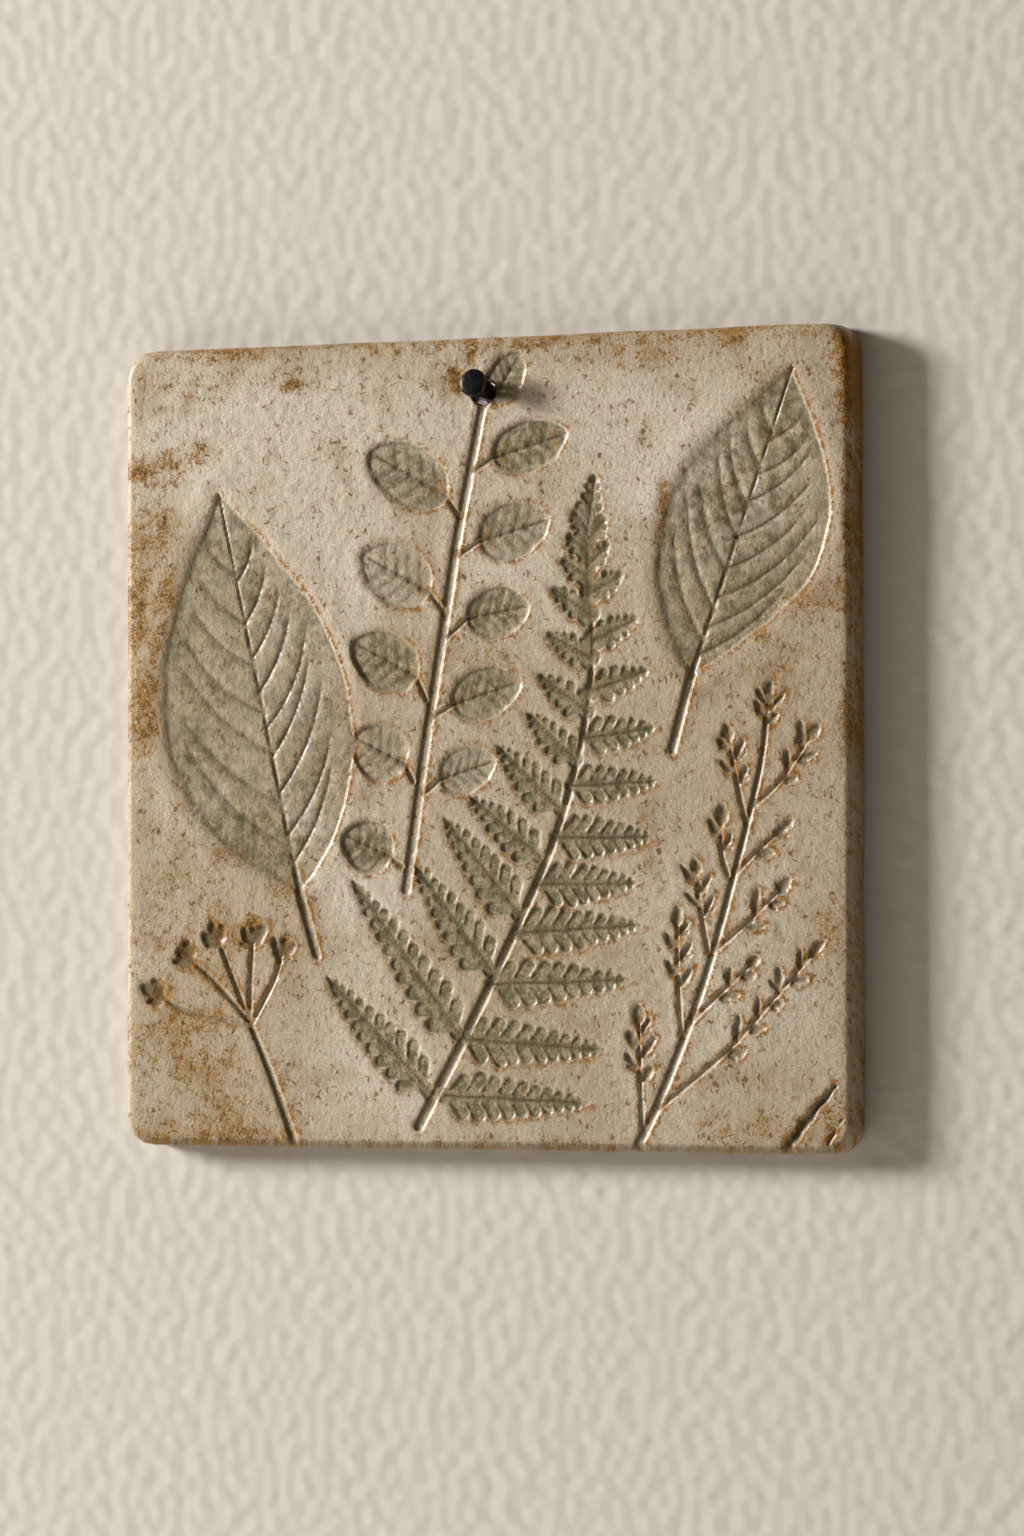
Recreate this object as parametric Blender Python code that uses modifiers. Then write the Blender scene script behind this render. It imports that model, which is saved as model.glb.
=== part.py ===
"""A square ceramic wall tile with plants pressed into its face, hanging on a black nail.

The tile stands upright with its face towards -Y and its back on the wall plane, Y = 0.
The origin is where the nail's axis meets the wall.
"""

import math

import bmesh
import bpy
from mathutils import Matrix, Vector

# Tile
TILE_WIDTH = 0.150
TILE_HEIGHT = 0.150
TILE_THICKNESS = 0.0060
CORNER_RADIUS = 0.0055
FRONT_EDGE_RADIUS = 0.0018
BACK_EDGE_RADIUS = 0.0010
CORNER_STEPS = 6
FRONT_EDGE_STEPS = 3
BACK_EDGE_STEPS = 2

# Hole for the nail
HOLE_DIAMETER = 0.0050
HOLE_BELOW_TOP = 0.0101
HOLE_RIGHT_OF_CENTRE = 0.0009
HOLE_LIP = 0.0004

# Nail, driven with its head higher than its point
SHANK_DIAMETER = 0.0032
HEAD_DIAMETER = 0.0053
HEAD_THICKNESS = 0.0012
HEAD_EDGE_RADIUS = 0.0003
HEAD_DOME = 0.0002
NAIL_PROUD = 0.0048
NAIL_IN_WALL = 0.0200
POINT_LENGTH = 0.0050
NAIL_SLOPE = math.radians(10.0)
BEARING_CLEARANCE = 0.0003
TURN_STEPS = 24

# Depths of the impressions
BIG_LEAF_DEPTH = 0.00065
SMALL_LEAF_DEPTH = 0.00050
FERN_DEPTH = 0.00050
CUT_ABOVE_FACE = 0.0010

# Half widths of stalks and veins, in layout units
MIDRIB = 0.85
SIDE_VEIN = 0.36
PINNA_RIB = 0.30
SPRIG_STEM = 1.05
SPRIG_STALK = 0.50
FERN_STEM = 1.15
FERN_STEM_TIP = 0.40
SEED_STEM = 1.00
SEED_TWIG = 0.45
UMBEL_STEM = 0.90
UMBEL_RAY = 0.55

# A groove's centre stands this share of its half width above the floor that it is cut in
GROOVE_LIFT = 0.15

# The plants are laid out on a face of this many units a side, from its centre, right and up
LAYOUT_SIDE = 150.0

# Where the tile's centre is
HOLE_TOP_Z = (
    TILE_THICKNESS * math.tan(NAIL_SLOPE)
    + SHANK_DIAMETER / 2 / math.cos(NAIL_SLOPE)
    + BEARING_CLEARANCE
)
HOLE_Z = HOLE_TOP_Z - HOLE_DIAMETER / 2
TILE_X = -HOLE_RIGHT_OF_CENTRE
TILE_Z = HOLE_Z + HOLE_BELOW_TOP - TILE_HEIGHT / 2

# The hole's centre in layout units
HOLE_U = HOLE_RIGHT_OF_CENTRE * LAYOUT_SIDE / TILE_WIDTH
HOLE_V = (TILE_HEIGHT / 2 - HOLE_BELOW_TOP) * LAYOUT_SIDE / TILE_HEIGHT

# Big leaves: blade base, tip, petiole end, (half width, widest share) on the left and right
BIG_LEAVES = {
    "left_leaf": {
        "base": (-37.6, -27.0),
        "tip": (-54.7, 47.3),
        "petiole_end": (-33.8, -39.2),
        "left": (21.6, 0.44),
        "right": (18.3, 0.44),
        "left_veins": 7,
        "right_veins": 9,
    },
    "right_leaf": {
        "base": (43.0, 11.5),
        "tip": (63.2, 66.9),
        "petiole_end": (39.1, -1.8),
        "left": (15.4, 0.45),
        "right": (16.7, 0.52),
        "left_veins": 7,
        "right_veins": 8,
    },
}
BIG_LEAF_TAPER = 1.1
BIG_LEAF_POINTS = 15
MIDRIB_FROM = 0.015
MIDRIB_TO = 0.98
PETIOLE_TO = 0.04

# Side veins: where they leave the midrib, how far out they reach, and their angles to it
VEINS_FROM = 0.07
VEINS_SPAN = 0.74
VEIN_SET_BACK = {"right": 0.25, "left": 0.60}
VEIN_REACH = 0.82
VEIN_FIRST_ANGLE = math.radians(52.0)
VEIN_LAST_ANGLE = math.radians(17.0)
VEIN_STEPS = 4

# Round-leaved sprig: stem from the hole down, then leaves as blade base, tip, half width and stalk foot
SPRIG_STEM_POINTS = [(-2.1, 49.1), (-4.4, 38.3), (-7.3, 21.3), (-11.2, -0.8), (-12.8, -11.7), (-15.1, -27.0)]
SPRIG_LEAVES = [
    ((2.6, 63.2), (8.4, 71.6), 3.6, None),
    ((2.8, 52.5), (18.0, 56.7), 4.6, (-0.8, 50.4)),
    ((-0.1, 37.1), (14.5, 41.0), 5.2, (-4.0, 34.7)),
    ((-2.6, 22.9), (10.2, 25.2), 4.7, (-6.5, 19.7)),
    ((-5.5, 7.1), (8.5, 11.3), 4.7, (-9.4, 4.9)),
    ((-8.2, -6.7), (3.3, -3.2), 4.2, (-11.3, -9.3)),
    ((-6.7, 45.5), (-22.9, 54.4), 5.6, (-4.2, 42.3)),
    ((-10.2, 27.9), (-24.4, 35.3), 5.6, (-7.3, 24.5)),
    ((-12.9, 12.2), (-26.3, 19.1), 5.4, (-10.9, 8.1)),
    ((-15.2, -3.9), (-26.2, 1.4), 5.2, (-13.6, -6.9)),
    ((-18.2, -21.1), (-28.4, -16.6), 4.9, (-15.9, -22.6)),
]
SMALL_LEAF_TAPER = 0.6
SMALL_LEAF_WIDEST = 0.45
SMALL_LEAF_POINTS = 7
SMALL_RIB_FROM = 0.05
SMALL_RIB_TO = 0.85
STALK_TO = 0.12

# Fern: its stem, then where each pinna leaves it and ends, from the lowest to the top
FERN_STEM_POINTS = [
    (-12.5, -70.6), (-3.3, -54.7), (7.2, -35.0), (15.6, -17.4),
    (21.0, 0.3), (23.2, 16.5), (22.1, 34.0), (23.6, 48.5),
]
FERN_RIGHT = [
    ((-7.4, -64.9), (22.1, -66.1)), ((-3.3, -54.5), (25.5, -56.4)), ((2.5, -44.4), (30.6, -43.6)),
    ((7.6, -35.0), (32.8, -33.6)), ((12.3, -26.0), (32.2, -25.9)), ((15.8, -17.4), (35.3, -17.6)),
    ((18.8, -8.1), (36.3, -7.4)), ((21.5, 0.6), (35.9, 2.4)), ((23.2, 9.4), (34.5, 12.9)),
    ((23.6, 18.7), (32.3, 22.4)), ((23.0, 27.3), (29.3, 30.6)), ((22.4, 32.6), (26.6, 36.2)),
    ((22.4, 37.2), (25.9, 41.0)),
]
FERN_LEFT = [
    ((-10.6, -64.0), (-31.6, -43.3)), ((-4.3, -53.6), (-26.3, -25.3)), ((2.3, -41.8), (-13.5, -22.2)),
    ((7.9, -31.3), (-7.2, -13.8)), ((12.3, -21.0), (-1.9, -9.9)), ((16.5, -12.3), (3.6, -0.5)),
    ((19.7, -3.4), (9.8, 5.4)), ((22.1, 5.5), (12.1, 12.5)), ((22.6, 15.4), (13.9, 19.9)),
    ((22.4, 23.4), (15.1, 28.2)), ((22.0, 30.3), (16.9, 33.5)), ((21.8, 35.0), (18.0, 38.0)),
    ((22.0, 38.7), (19.3, 42.4)),
]
FERN_TOP = ((22.0, 39.0), (23.6, 48.9))
PINNA_HALF_WIDTH = 0.17
PINNA_WIDEST = 4.6
PINNA_NARROWEST = 1.3
PINNA_SHOULDER = 0.75
PINNA_TAPER = 0.62
PINNA_RIB_FROM = 0.03
PINNA_RIB_TO = 0.90
RIBBED_PINNA_FROM = 8.0
LOBES_FROM = 0.04
LOBES_SPAN = 0.90
LOBES_END = 0.985
LOBE_PITCH = 3.9
LOBE_LEAN = 0.55
# A lobe's outline: shares of its pitch along the rib and of the pinna's half width out
LOBE_SHAPE = ((0.08, 0.34), (0.34, 0.94), (0.80, 0.92))

# Seed sprig: its stem, then each branch as a run of points, with how many buds it carries
SEED_STEM_POINTS = [(31.7, -74.0), (36.2, -66.1), (44.6, -46.5), (51.1, -26.2), (56.7, -5.5), (58.4, 7.2)]
SEED_BRANCHES = [
    ([(36.2, -67.2), (50.3, -56.2), (60.4, -45.8), (67.0, -38.9)], 9),
    ([(33.1, -70.2), (32.6, -60.0), (32.4, -51.1)], 6),
    ([(41.0, -53.4), (40.3, -43.0), (40.2, -33.1)], 6),
    ([(43.3, -50.8), (49.6, -45.2), (54.8, -40.7)], 4),
    ([(46.4, -38.3), (44.7, -29.6), (44.0, -23.8)], 5),
    ([(47.8, -38.3), (54.2, -33.1), (60.5, -27.4)], 4),
    ([(52.3, -23.9), (56.0, -20.4), (60.2, -17.0)], 2),
    ([(50.4, -24.5), (49.1, -20.4), (49.1, -14.6)], 3),
    ([(55.5, -12.1), (60.5, -7.8), (66.6, 0.2)], 5),
    ([(53.9, -14.6), (52.3, -8.3), (50.4, 0.4)], 5),
    ([(57.6, -1.0), (58.4, 7.2)], 5),
]
BUD_LENGTH = 4.2
BUD_HALF_WIDTH = 1.15
BUD_STALK = 0.7
BUD_SPREAD = math.radians(38.0)
BUD_DEPTH = 1.25
BUD_LIFT = 0.25
BUDS_FROM = 0.40
BUDS_SPAN = 0.58

# Umbel: its stem, then each ray as a run of points, with a cluster of buds at the end
UMBEL_STEM_POINTS = [(-38.4, -73.4), (-43.9, -60.5), (-48.5, -50.8)]
UMBEL_RAYS = [
    [(-47.6, -52.3), (-61.1, -49.5), (-67.6, -46.6)],
    [(-47.9, -51.7), (-55.6, -43.9), (-61.2, -39.6)],
    [(-48.2, -51.3), (-52.6, -41.1), (-55.0, -36.0)],
    [(-48.1, -51.5), (-47.8, -41.0), (-47.4, -36.2)],
    [(-47.7, -52.0), (-43.0, -43.9), (-41.2, -38.6)],
]
CLUSTER_BUDS = 3
CLUSTER_SPREAD = math.radians(34.0)
CLUSTER_STEP = 0.4

# Gash across the lower right corner
GASH_POINTS = [(60.8, -75.0), (66.0, -68.6), (71.2, -62.6)]
GASH_HALF_WIDTH = 0.9


def clear_scene():
    for thing in list(bpy.data.objects):
        bpy.data.objects.remove(thing, do_unlink=True)


def make_collection(name):
    collection = bpy.data.collections.new(name)
    bpy.context.scene.collection.children.link(collection)
    return collection


def make_material(name, colour, roughness, metallic):
    material = bpy.data.materials.new(name)
    material.use_nodes = True
    shader = material.node_tree.nodes["Principled BSDF"]
    shader.inputs["Base Color"].default_value = (*colour, 1.0)
    shader.inputs["Roughness"].default_value = roughness
    shader.inputs["Metallic"].default_value = metallic
    material.diffuse_color = (*colour, 1.0)
    return material


def add_mesh_object(name, mesh, collection):
    thing = bpy.data.objects.new(name, mesh)
    collection.objects.link(thing)
    return thing


def mark_as_cutter(thing):
    thing.hide_render = True
    thing.display_type = "WIRE"


def face_point(u, v, depth):
    """A point of the tile's face, in layout units from its centre, sunk by a depth in metres."""
    x = TILE_X + u * TILE_WIDTH / LAYOUT_SIDE
    z = TILE_Z + v * TILE_HEIGHT / LAYOUT_SIDE
    return Vector((x, -TILE_THICKNESS + depth, z))


def layout_size(units):
    return units * min(TILE_WIDTH, TILE_HEIGHT) / LAYOUT_SIDE


def smooth_run(points, steps):
    """Points on a smooth curve through the given ones (Catmull-Rom)."""
    run = [Vector(p) for p in points]
    run.insert(0, run[0] * 2 - run[1])
    run.append(run[-1] * 2 - run[-2])
    result = []
    for before, start, end, after in zip(run, run[1:], run[2:], run[3:]):
        for step in range(steps):
            t = step / steps
            a = end - before
            b = before * 2 - start * 5 + end * 4 - after
            c = start * 3 - before - end * 3 + after
            result.append(start + (a * t + b * t * t + c * t ** 3) / 2)
    result.append(run[-2])
    return result


def curve_to_mesh_object(curve, name, collection, location=(0, 0, 0), rotation=(0, 0, 0)):
    """Turns a curve into a closed mesh cutter, with the caps welded on and each flat side one face."""
    temporary = bpy.data.objects.new(name + "_curve", curve)
    bpy.context.scene.collection.objects.link(temporary)
    temporary.location = location
    temporary.rotation_euler = rotation
    bpy.context.view_layer.update()
    evaluated = temporary.evaluated_get(bpy.context.evaluated_depsgraph_get())
    mesh = bpy.data.meshes.new_from_object(evaluated)
    welded = bmesh.new()
    welded.from_mesh(mesh)
    bmesh.ops.remove_doubles(welded, verts=welded.verts, dist=0.000002)
    bmesh.ops.dissolve_limit(welded, angle_limit=0.001, verts=welded.verts, edges=welded.edges)
    bmesh.ops.recalc_face_normals(welded, faces=welded.faces)
    welded.to_mesh(mesh)
    welded.free()
    thing = add_mesh_object(name, mesh, collection)
    thing.matrix_world = temporary.matrix_world
    bpy.data.objects.remove(temporary, do_unlink=True)
    mark_as_cutter(thing)
    return thing


def cut_outline(name, outline, depth, collection):
    """Sinks a flat outline, given in layout units, into the face."""
    curve = bpy.data.curves.new(name, "CURVE")
    curve.dimensions = "2D"
    curve.fill_mode = "BOTH"
    curve.extrude = (depth + CUT_ABOVE_FACE) / 2
    spline = curve.splines.new("POLY")
    spline.points.add(len(outline) - 1)
    for point, (u, v) in zip(spline.points, outline):
        place = face_point(u, v, 0)
        point.co = (place.x, place.z, 0, 1)
    spline.use_cyclic_u = True
    middle = -TILE_THICKNESS + (depth - CUT_ABOVE_FACE) / 2
    return curve_to_mesh_object(curve, name, collection, (0, middle, 0), (math.pi / 2, 0, 0))


def cut_groove(name, run, floor, half_widths, collection, round_steps=0):
    """Sinks a groove as deep as its half width into a floor at the depth given, along a layout run.

    With no round steps its section is a plain V, for veins and thin stalks.
    """
    curve = bpy.data.curves.new(name, "CURVE")
    curve.dimensions = "3D"
    curve.bevel_depth = 1.0
    curve.bevel_resolution = round_steps
    curve.use_fill_caps = True
    spline = curve.splines.new("POLY")
    spline.points.add(len(run) - 1)
    for index, (point, (u, v)) in enumerate(zip(spline.points, run)):
        share = index / (len(run) - 1)
        radius = layout_size(half_widths[0] + (half_widths[1] - half_widths[0]) * share)
        place = face_point(u, v, floor - radius * GROOVE_LIFT)
        point.co = (*place, 1)
        point.radius = radius
    return curve_to_mesh_object(curve, name, collection)


def cut_bud(name, foot, tip, collection):
    """Sinks an almond-shaped bud with a keel between two layout points."""
    body = bmesh.new()
    bmesh.ops.create_uvsphere(body, u_segments=4, v_segments=3, radius=1.0)
    mesh = bpy.data.meshes.new(name)
    body.to_mesh(mesh)
    body.free()
    thing = add_mesh_object(name, mesh, collection)
    start = face_point(*foot, 0)
    end = face_point(*tip, 0)
    along = end - start
    thing.scale = (layout_size(BUD_HALF_WIDTH), SMALL_LEAF_DEPTH * BUD_DEPTH, along.length / 2)
    thing.rotation_euler = (0, math.atan2(along.x, along.z), 0)
    thing.location = (start + end) / 2 + Vector((0, -SMALL_LEAF_DEPTH * BUD_LIFT, 0))
    mark_as_cutter(thing)
    return thing


def blade_width(share, widest, base_power, tip_power):
    """A leaf's half width along its midrib, 1 where it is widest and 0 at its ends."""
    if share <= 0 or share >= 1:
        return 0.0
    return (share / widest) ** base_power * ((1 - share) / (1 - widest)) ** tip_power


def leaf_outline(base, tip, left, right, tip_power, points_a_side):
    """A leaf's outline from its base up the right side to the tip and back down the left."""
    base = Vector(base)
    along = Vector(tip) - base
    across = Vector((along.y, -along.x)).normalized()
    outline = []
    for side, (half_width, widest) in ((1, right), (-1, left)):
        base_power = tip_power * widest / (1 - widest)
        shares = [(1 - math.cos(math.pi * i / points_a_side)) / 2 for i in range(points_a_side)]
        if side < 0:
            shares = [1 - share for share in shares]
        for share in shares:
            reach = side * half_width * blade_width(share, widest, base_power, tip_power)
            outline.append(base + along * share + across * reach)
    return outline


def cut_big_leaf(name, leaf, collection):
    outline = leaf_outline(
        leaf["base"], leaf["tip"], leaf["left"], leaf["right"], BIG_LEAF_TAPER, BIG_LEAF_POINTS
    )
    cut_outline(name, outline, BIG_LEAF_DEPTH, collection)
    base = Vector(leaf["base"])
    tip = Vector(leaf["tip"])
    petiole = [Vector(leaf["petiole_end"]), base.lerp(tip, PETIOLE_TO)]
    cut_groove(name + "_petiole", petiole, 0, (MIDRIB, MIDRIB), collection, 1)
    midrib = [base.lerp(tip, MIDRIB_FROM), base.lerp(tip, MIDRIB_TO)]
    cut_groove(name + "_midrib", midrib, BIG_LEAF_DEPTH, (MIDRIB, SIDE_VEIN), collection, 1)
    for side, word in ((1, "right"), (-1, "left")):
        for index, run in enumerate(side_vein_runs(leaf, side, word)):
            vein = "{}_vein_{}_{}".format(name, word, index + 1)
            cut_groove(vein, run, BIG_LEAF_DEPTH, (SIDE_VEIN, SIDE_VEIN * 0.6), collection)


def side_vein_runs(leaf, side, word):
    """Side veins of one half: they leave the midrib at an angle and bend towards the tip."""
    base = Vector(leaf["base"])
    along = Vector(leaf["tip"]) - base
    forward = along.normalized()
    across = Vector((forward.y, -forward.x)) * side
    half_width, widest = leaf[word]
    base_power = BIG_LEAF_TAPER * widest / (1 - widest)
    bend = (VEIN_LAST_ANGLE - VEIN_FIRST_ANGLE) / (VEIN_STEPS - 1)
    angles = [VEIN_FIRST_ANGLE + bend * step for step in range(VEIN_STEPS)]
    outward = sum(math.sin(angle) for angle in angles)
    onward = sum(math.cos(angle) for angle in angles)
    count = leaf[word + "_veins"]
    runs = []
    for index in range(count):
        start = VEINS_FROM + VEINS_SPAN * (index + VEIN_SET_BACK[word]) / count
        reach = half_width
        for _ in range(8):
            end = start + reach * onward / outward / along.length
            limit = half_width * blade_width(end, widest, base_power, BIG_LEAF_TAPER)
            reach = (reach + VEIN_REACH * limit) / 2
        run = [base + along * start]
        for angle in angles:
            step = forward * math.cos(angle) + across * math.sin(angle)
            run.append(run[-1] + step * reach / outward)
        runs.append(run)
    return runs


def cut_sprig(collection):
    stem = smooth_run([(HOLE_U, HOLE_V), *SPRIG_STEM_POINTS], 2)
    cut_groove("sprig_stem", stem, 0, (SPRIG_STEM * 0.8, SPRIG_STEM), collection, 1)
    for index, (base, tip, half_width, foot) in enumerate(SPRIG_LEAVES):
        name = "sprig_leaf_{:02d}".format(index + 1)
        sides = (half_width, SMALL_LEAF_WIDEST)
        outline = leaf_outline(base, tip, sides, sides, SMALL_LEAF_TAPER, SMALL_LEAF_POINTS)
        cut_outline(name, outline, SMALL_LEAF_DEPTH, collection)
        base, tip = Vector(base), Vector(tip)
        stalk = [foot or (HOLE_U, HOLE_V), base.lerp(tip, STALK_TO)]
        cut_groove(name + "_stalk", stalk, 0, (SPRIG_STALK, SPRIG_STALK), collection)
        rib = [base.lerp(tip, SMALL_RIB_FROM), base.lerp(tip, SMALL_RIB_TO)]
        cut_groove(name + "_rib", rib, SMALL_LEAF_DEPTH, (SPRIG_STALK, SPRIG_STALK * 0.6), collection)


def pinna_outline(foot, tip):
    """A fern pinna: rows of lobes on both sides that lean towards its tip and shrink to it."""
    foot = Vector(foot)
    along = Vector(tip) - foot
    length = along.length
    across = Vector((along.y, -along.x)).normalized()
    forward = along.normalized()
    reach = min(PINNA_WIDEST, max(PINNA_NARROWEST, length * PINNA_HALF_WIDTH))
    lobes = max(2, round(length / LOBE_PITCH))
    side_points = []
    for lobe in range(lobes):
        for share_along, share_out in LOBE_SHAPE:
            share = LOBES_FROM + LOBES_SPAN * (lobe + share_along) / lobes
            out = share_out * reach * min(1.0, PINNA_SHOULDER + share) * max(0.0, 1 - share) ** PINNA_TAPER
            side_points.append((share * length + LOBE_LEAN * out, out))
    side_points = [(a, w) for a, w in side_points if a < length * LOBES_END]
    outline = [foot]
    outline += [foot + forward * a + across * w for a, w in side_points]
    outline.append(foot + along)
    outline += [foot + forward * a - across * w for a, w in reversed(side_points)]
    return outline


def cut_fern(collection):
    cut_groove("fern_stem", smooth_run(FERN_STEM_POINTS, 2), 0, (FERN_STEM, FERN_STEM_TIP), collection, 1)
    cut_outline("fern_top", pinna_outline(*FERN_TOP), FERN_DEPTH, collection)
    for side, pinnae in (("right", FERN_RIGHT), ("left", FERN_LEFT)):
        for index, (foot, tip) in enumerate(pinnae):
            name = "fern_{}_{:02d}".format(side, index + 1)
            cut_outline(name, pinna_outline(foot, tip), FERN_DEPTH, collection)
            if (Vector(tip) - Vector(foot)).length < RIBBED_PINNA_FROM:
                continue
            foot, tip = Vector(foot), Vector(tip)
            rib = [foot.lerp(tip, PINNA_RIB_FROM), foot.lerp(tip, PINNA_RIB_TO)]
            widths = (PINNA_RIB, PINNA_RIB * 0.6)
            cut_groove(name + "_rib", rib, FERN_DEPTH, widths, collection)


def point_along(run, share):
    """The place and direction at a share of a run's length."""
    lengths = [(b - a).length for a, b in zip(run, run[1:])]
    left = share * sum(lengths)
    for (start, end), length in zip(zip(run, run[1:]), lengths):
        if left <= length:
            break
        left -= length
    return start.lerp(end, min(1.0, left / length)), (end - start).normalized()


def cut_twig(name, points, buds, collection):
    """A thin twig with almond buds, alternate on its sides and one at its end."""
    run = smooth_run(points, 1)
    cut_groove(name, run, 0, (SEED_TWIG * 1.2, SEED_TWIG * 0.8), collection)
    for index in range(buds):
        last = index == buds - 1
        share = 1.0 if last else BUDS_FROM + BUDS_SPAN * index / (buds - 1)
        place, direction = point_along(run, share)
        aim = direction.copy()
        if not last:
            aim.rotate(Matrix.Rotation(BUD_SPREAD if index % 2 else -BUD_SPREAD, 2))
        foot = place + aim * (-BUD_STALK if last else BUD_STALK)
        cut_bud("{}_bud_{}".format(name, index + 1), foot, foot + aim * BUD_LENGTH, collection)


def cut_seed_sprig(collection):
    stem = smooth_run(SEED_STEM_POINTS, 2)
    cut_groove("seed_stem", stem, 0, (SEED_STEM, SEED_TWIG), collection)
    for index, (points, buds) in enumerate(SEED_BRANCHES):
        cut_twig("seed_twig_{:02d}".format(index + 1), [Vector(p) for p in points], buds, collection)


def cut_umbel(collection):
    stem = smooth_run(UMBEL_STEM_POINTS, 2)
    cut_groove("umbel_stem", stem, 0, (UMBEL_STEM, UMBEL_RAY), collection)
    for index, points in enumerate(UMBEL_RAYS):
        name = "umbel_ray_{}".format(index + 1)
        ray = smooth_run(points, 1)
        cut_groove(name, ray, 0, (UMBEL_RAY, UMBEL_RAY * 0.8), collection)
        direction = (ray[-1] - ray[-2]).normalized()
        for bud in range(CLUSTER_BUDS):
            aim = direction.copy()
            aim.rotate(Matrix.Rotation(CLUSTER_SPREAD * (bud - (CLUSTER_BUDS - 1) / 2), 2))
            foot = ray[-1] - direction * CLUSTER_STEP * (bud + 1)
            cut_bud("{}_bud_{}".format(name, bud + 1), foot, foot + aim * BUD_LENGTH, collection)


def turned_object(name, profile, collection):
    """Turns a profile of (radius, height) points, top to bottom, about its own Z axis."""
    mesh = bpy.data.meshes.new(name)
    edges = [(i, i + 1) for i in range(len(profile) - 1)]
    mesh.from_pydata([(radius, 0, height) for radius, height in profile], edges, [])
    thing = add_mesh_object(name, mesh, collection)
    screw = thing.modifiers.new("Turn", "SCREW")
    screw.steps = TURN_STEPS
    screw.render_steps = TURN_STEPS
    screw.use_merge_vertices = True
    screw.merge_threshold = 0.00001
    return thing


def cut_hole(collection):
    """A straight hole with a softened lip on both faces."""
    radius = HOLE_DIAMETER / 2
    half = TILE_THICKNESS / 2
    profile = [
        (0, half + CUT_ABOVE_FACE),
        (radius + HOLE_LIP * 2, half + CUT_ABOVE_FACE),
        (radius + HOLE_LIP, half),
        (radius, half - HOLE_LIP),
        (radius, HOLE_LIP - half),
        (radius + HOLE_LIP, -half),
        (radius + HOLE_LIP * 2, -half - CUT_ABOVE_FACE),
        (0, -half - CUT_ABOVE_FACE),
    ]
    hole = turned_object("nail_hole", profile, collection)
    hole.rotation_euler = (math.pi / 2, 0, 0)
    hole.location = face_point(HOLE_U, HOLE_V, half)
    mark_as_cutter(hole)


def build_slab(collection):
    """The pressed slab before its impressions: round corners, a soft front edge and a small back one."""
    bpy.ops.mesh.primitive_cube_add(size=1.0)
    slab = bpy.context.active_object
    for owner in list(slab.users_collection):
        owner.objects.unlink(slab)
    collection.objects.link(slab)
    slab.name = "tile"
    slab.data.name = "tile"
    shape = bmesh.new()
    shape.from_mesh(slab.data)
    for vert in shape.verts:
        vert.co.x = TILE_X + vert.co.x * TILE_WIDTH
        vert.co.y = (vert.co.y - 0.5) * TILE_THICKNESS
        vert.co.z = TILE_Z + vert.co.z * TILE_HEIGHT
    upright = [e for e in shape.edges if abs(e.verts[0].co.y - e.verts[1].co.y) > TILE_THICKNESS / 2]
    round_edges(shape, upright, CORNER_RADIUS, CORNER_STEPS)
    round_edges(shape, edges_at(shape, -TILE_THICKNESS), FRONT_EDGE_RADIUS, FRONT_EDGE_STEPS)
    round_edges(shape, edges_at(shape, 0), BACK_EDGE_RADIUS, BACK_EDGE_STEPS)
    shape.to_mesh(slab.data)
    shape.free()
    return slab


def edges_at(shape, y):
    return [e for e in shape.edges if all(abs(v.co.y - y) < 0.000001 for v in e.verts)]


def round_edges(shape, edges, radius, segments):
    bmesh.ops.bevel(
        shape, geom=edges, offset=radius, offset_type="OFFSET",
        segments=segments, profile=0.5, affect="EDGES", clamp_overlap=True,
    )


def build_tile(parts, cutters):
    tile = build_slab(parts)
    cut_hole(cutters)
    for name, leaf in BIG_LEAVES.items():
        cut_big_leaf(name, leaf, cutters)
    cut_sprig(cutters)
    cut_fern(cutters)
    cut_seed_sprig(cutters)
    cut_umbel(cutters)
    gash = [Vector(p) for p in GASH_POINTS]
    cut_groove("gash", gash, 0, (GASH_HALF_WIDTH, GASH_HALF_WIDTH * 0.4), cutters)
    impressions = tile.modifiers.new("Impressions", "BOOLEAN")
    impressions.operation = "DIFFERENCE"
    impressions.solver = "EXACT"
    impressions.operand_type = "COLLECTION"
    impressions.collection = cutters
    tile.data.materials.append(make_material("beige_glaze", (0.46, 0.37, 0.26), 0.32, 0.0))
    return tile


def build_nail(parts):
    """A round nail: a flat, slightly domed head, a straight shank and a point in the wall."""
    head = HEAD_DIAMETER / 2
    shank = SHANK_DIAMETER / 2
    head_top = TILE_THICKNESS / math.cos(NAIL_SLOPE) + NAIL_PROUD
    head_under = head_top - HEAD_THICKNESS
    profile = [
        (0, head_top),
        (head * 0.6, head_top - HEAD_DOME * 0.4),
        (head - HEAD_EDGE_RADIUS, head_top - HEAD_DOME),
        (head - HEAD_EDGE_RADIUS * 0.3, head_top - HEAD_DOME - HEAD_EDGE_RADIUS * 0.3),
        (head, head_top - HEAD_DOME - HEAD_EDGE_RADIUS),
        (head, head_under + HEAD_EDGE_RADIUS),
        (head - HEAD_EDGE_RADIUS, head_under),
        (shank, head_under),
        (shank, POINT_LENGTH - NAIL_IN_WALL),
        (0, -NAIL_IN_WALL),
    ]
    nail = turned_object("nail", profile, parts)
    nail.rotation_euler = (math.pi / 2 - NAIL_SLOPE, 0, 0)
    nail.data.materials.append(make_material("black_iron", (0.02, 0.02, 0.022), 0.4, 0.6))
    return nail


def main():
    clear_scene()
    parts = make_collection("ceramic_tile")
    cutters = make_collection("cutters")
    build_tile(parts, cutters)
    build_nail(parts)


main()
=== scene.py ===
"""Looks of a square ceramic tile with plants pressed into its glazed face, hanging on a black nail.

Plans are in millimetres on the tile's face, from its centre, right and up. Depths are in
millimetres below the flat face. Everything in Blender is in metres, in the frame of the solids.
"""

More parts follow.
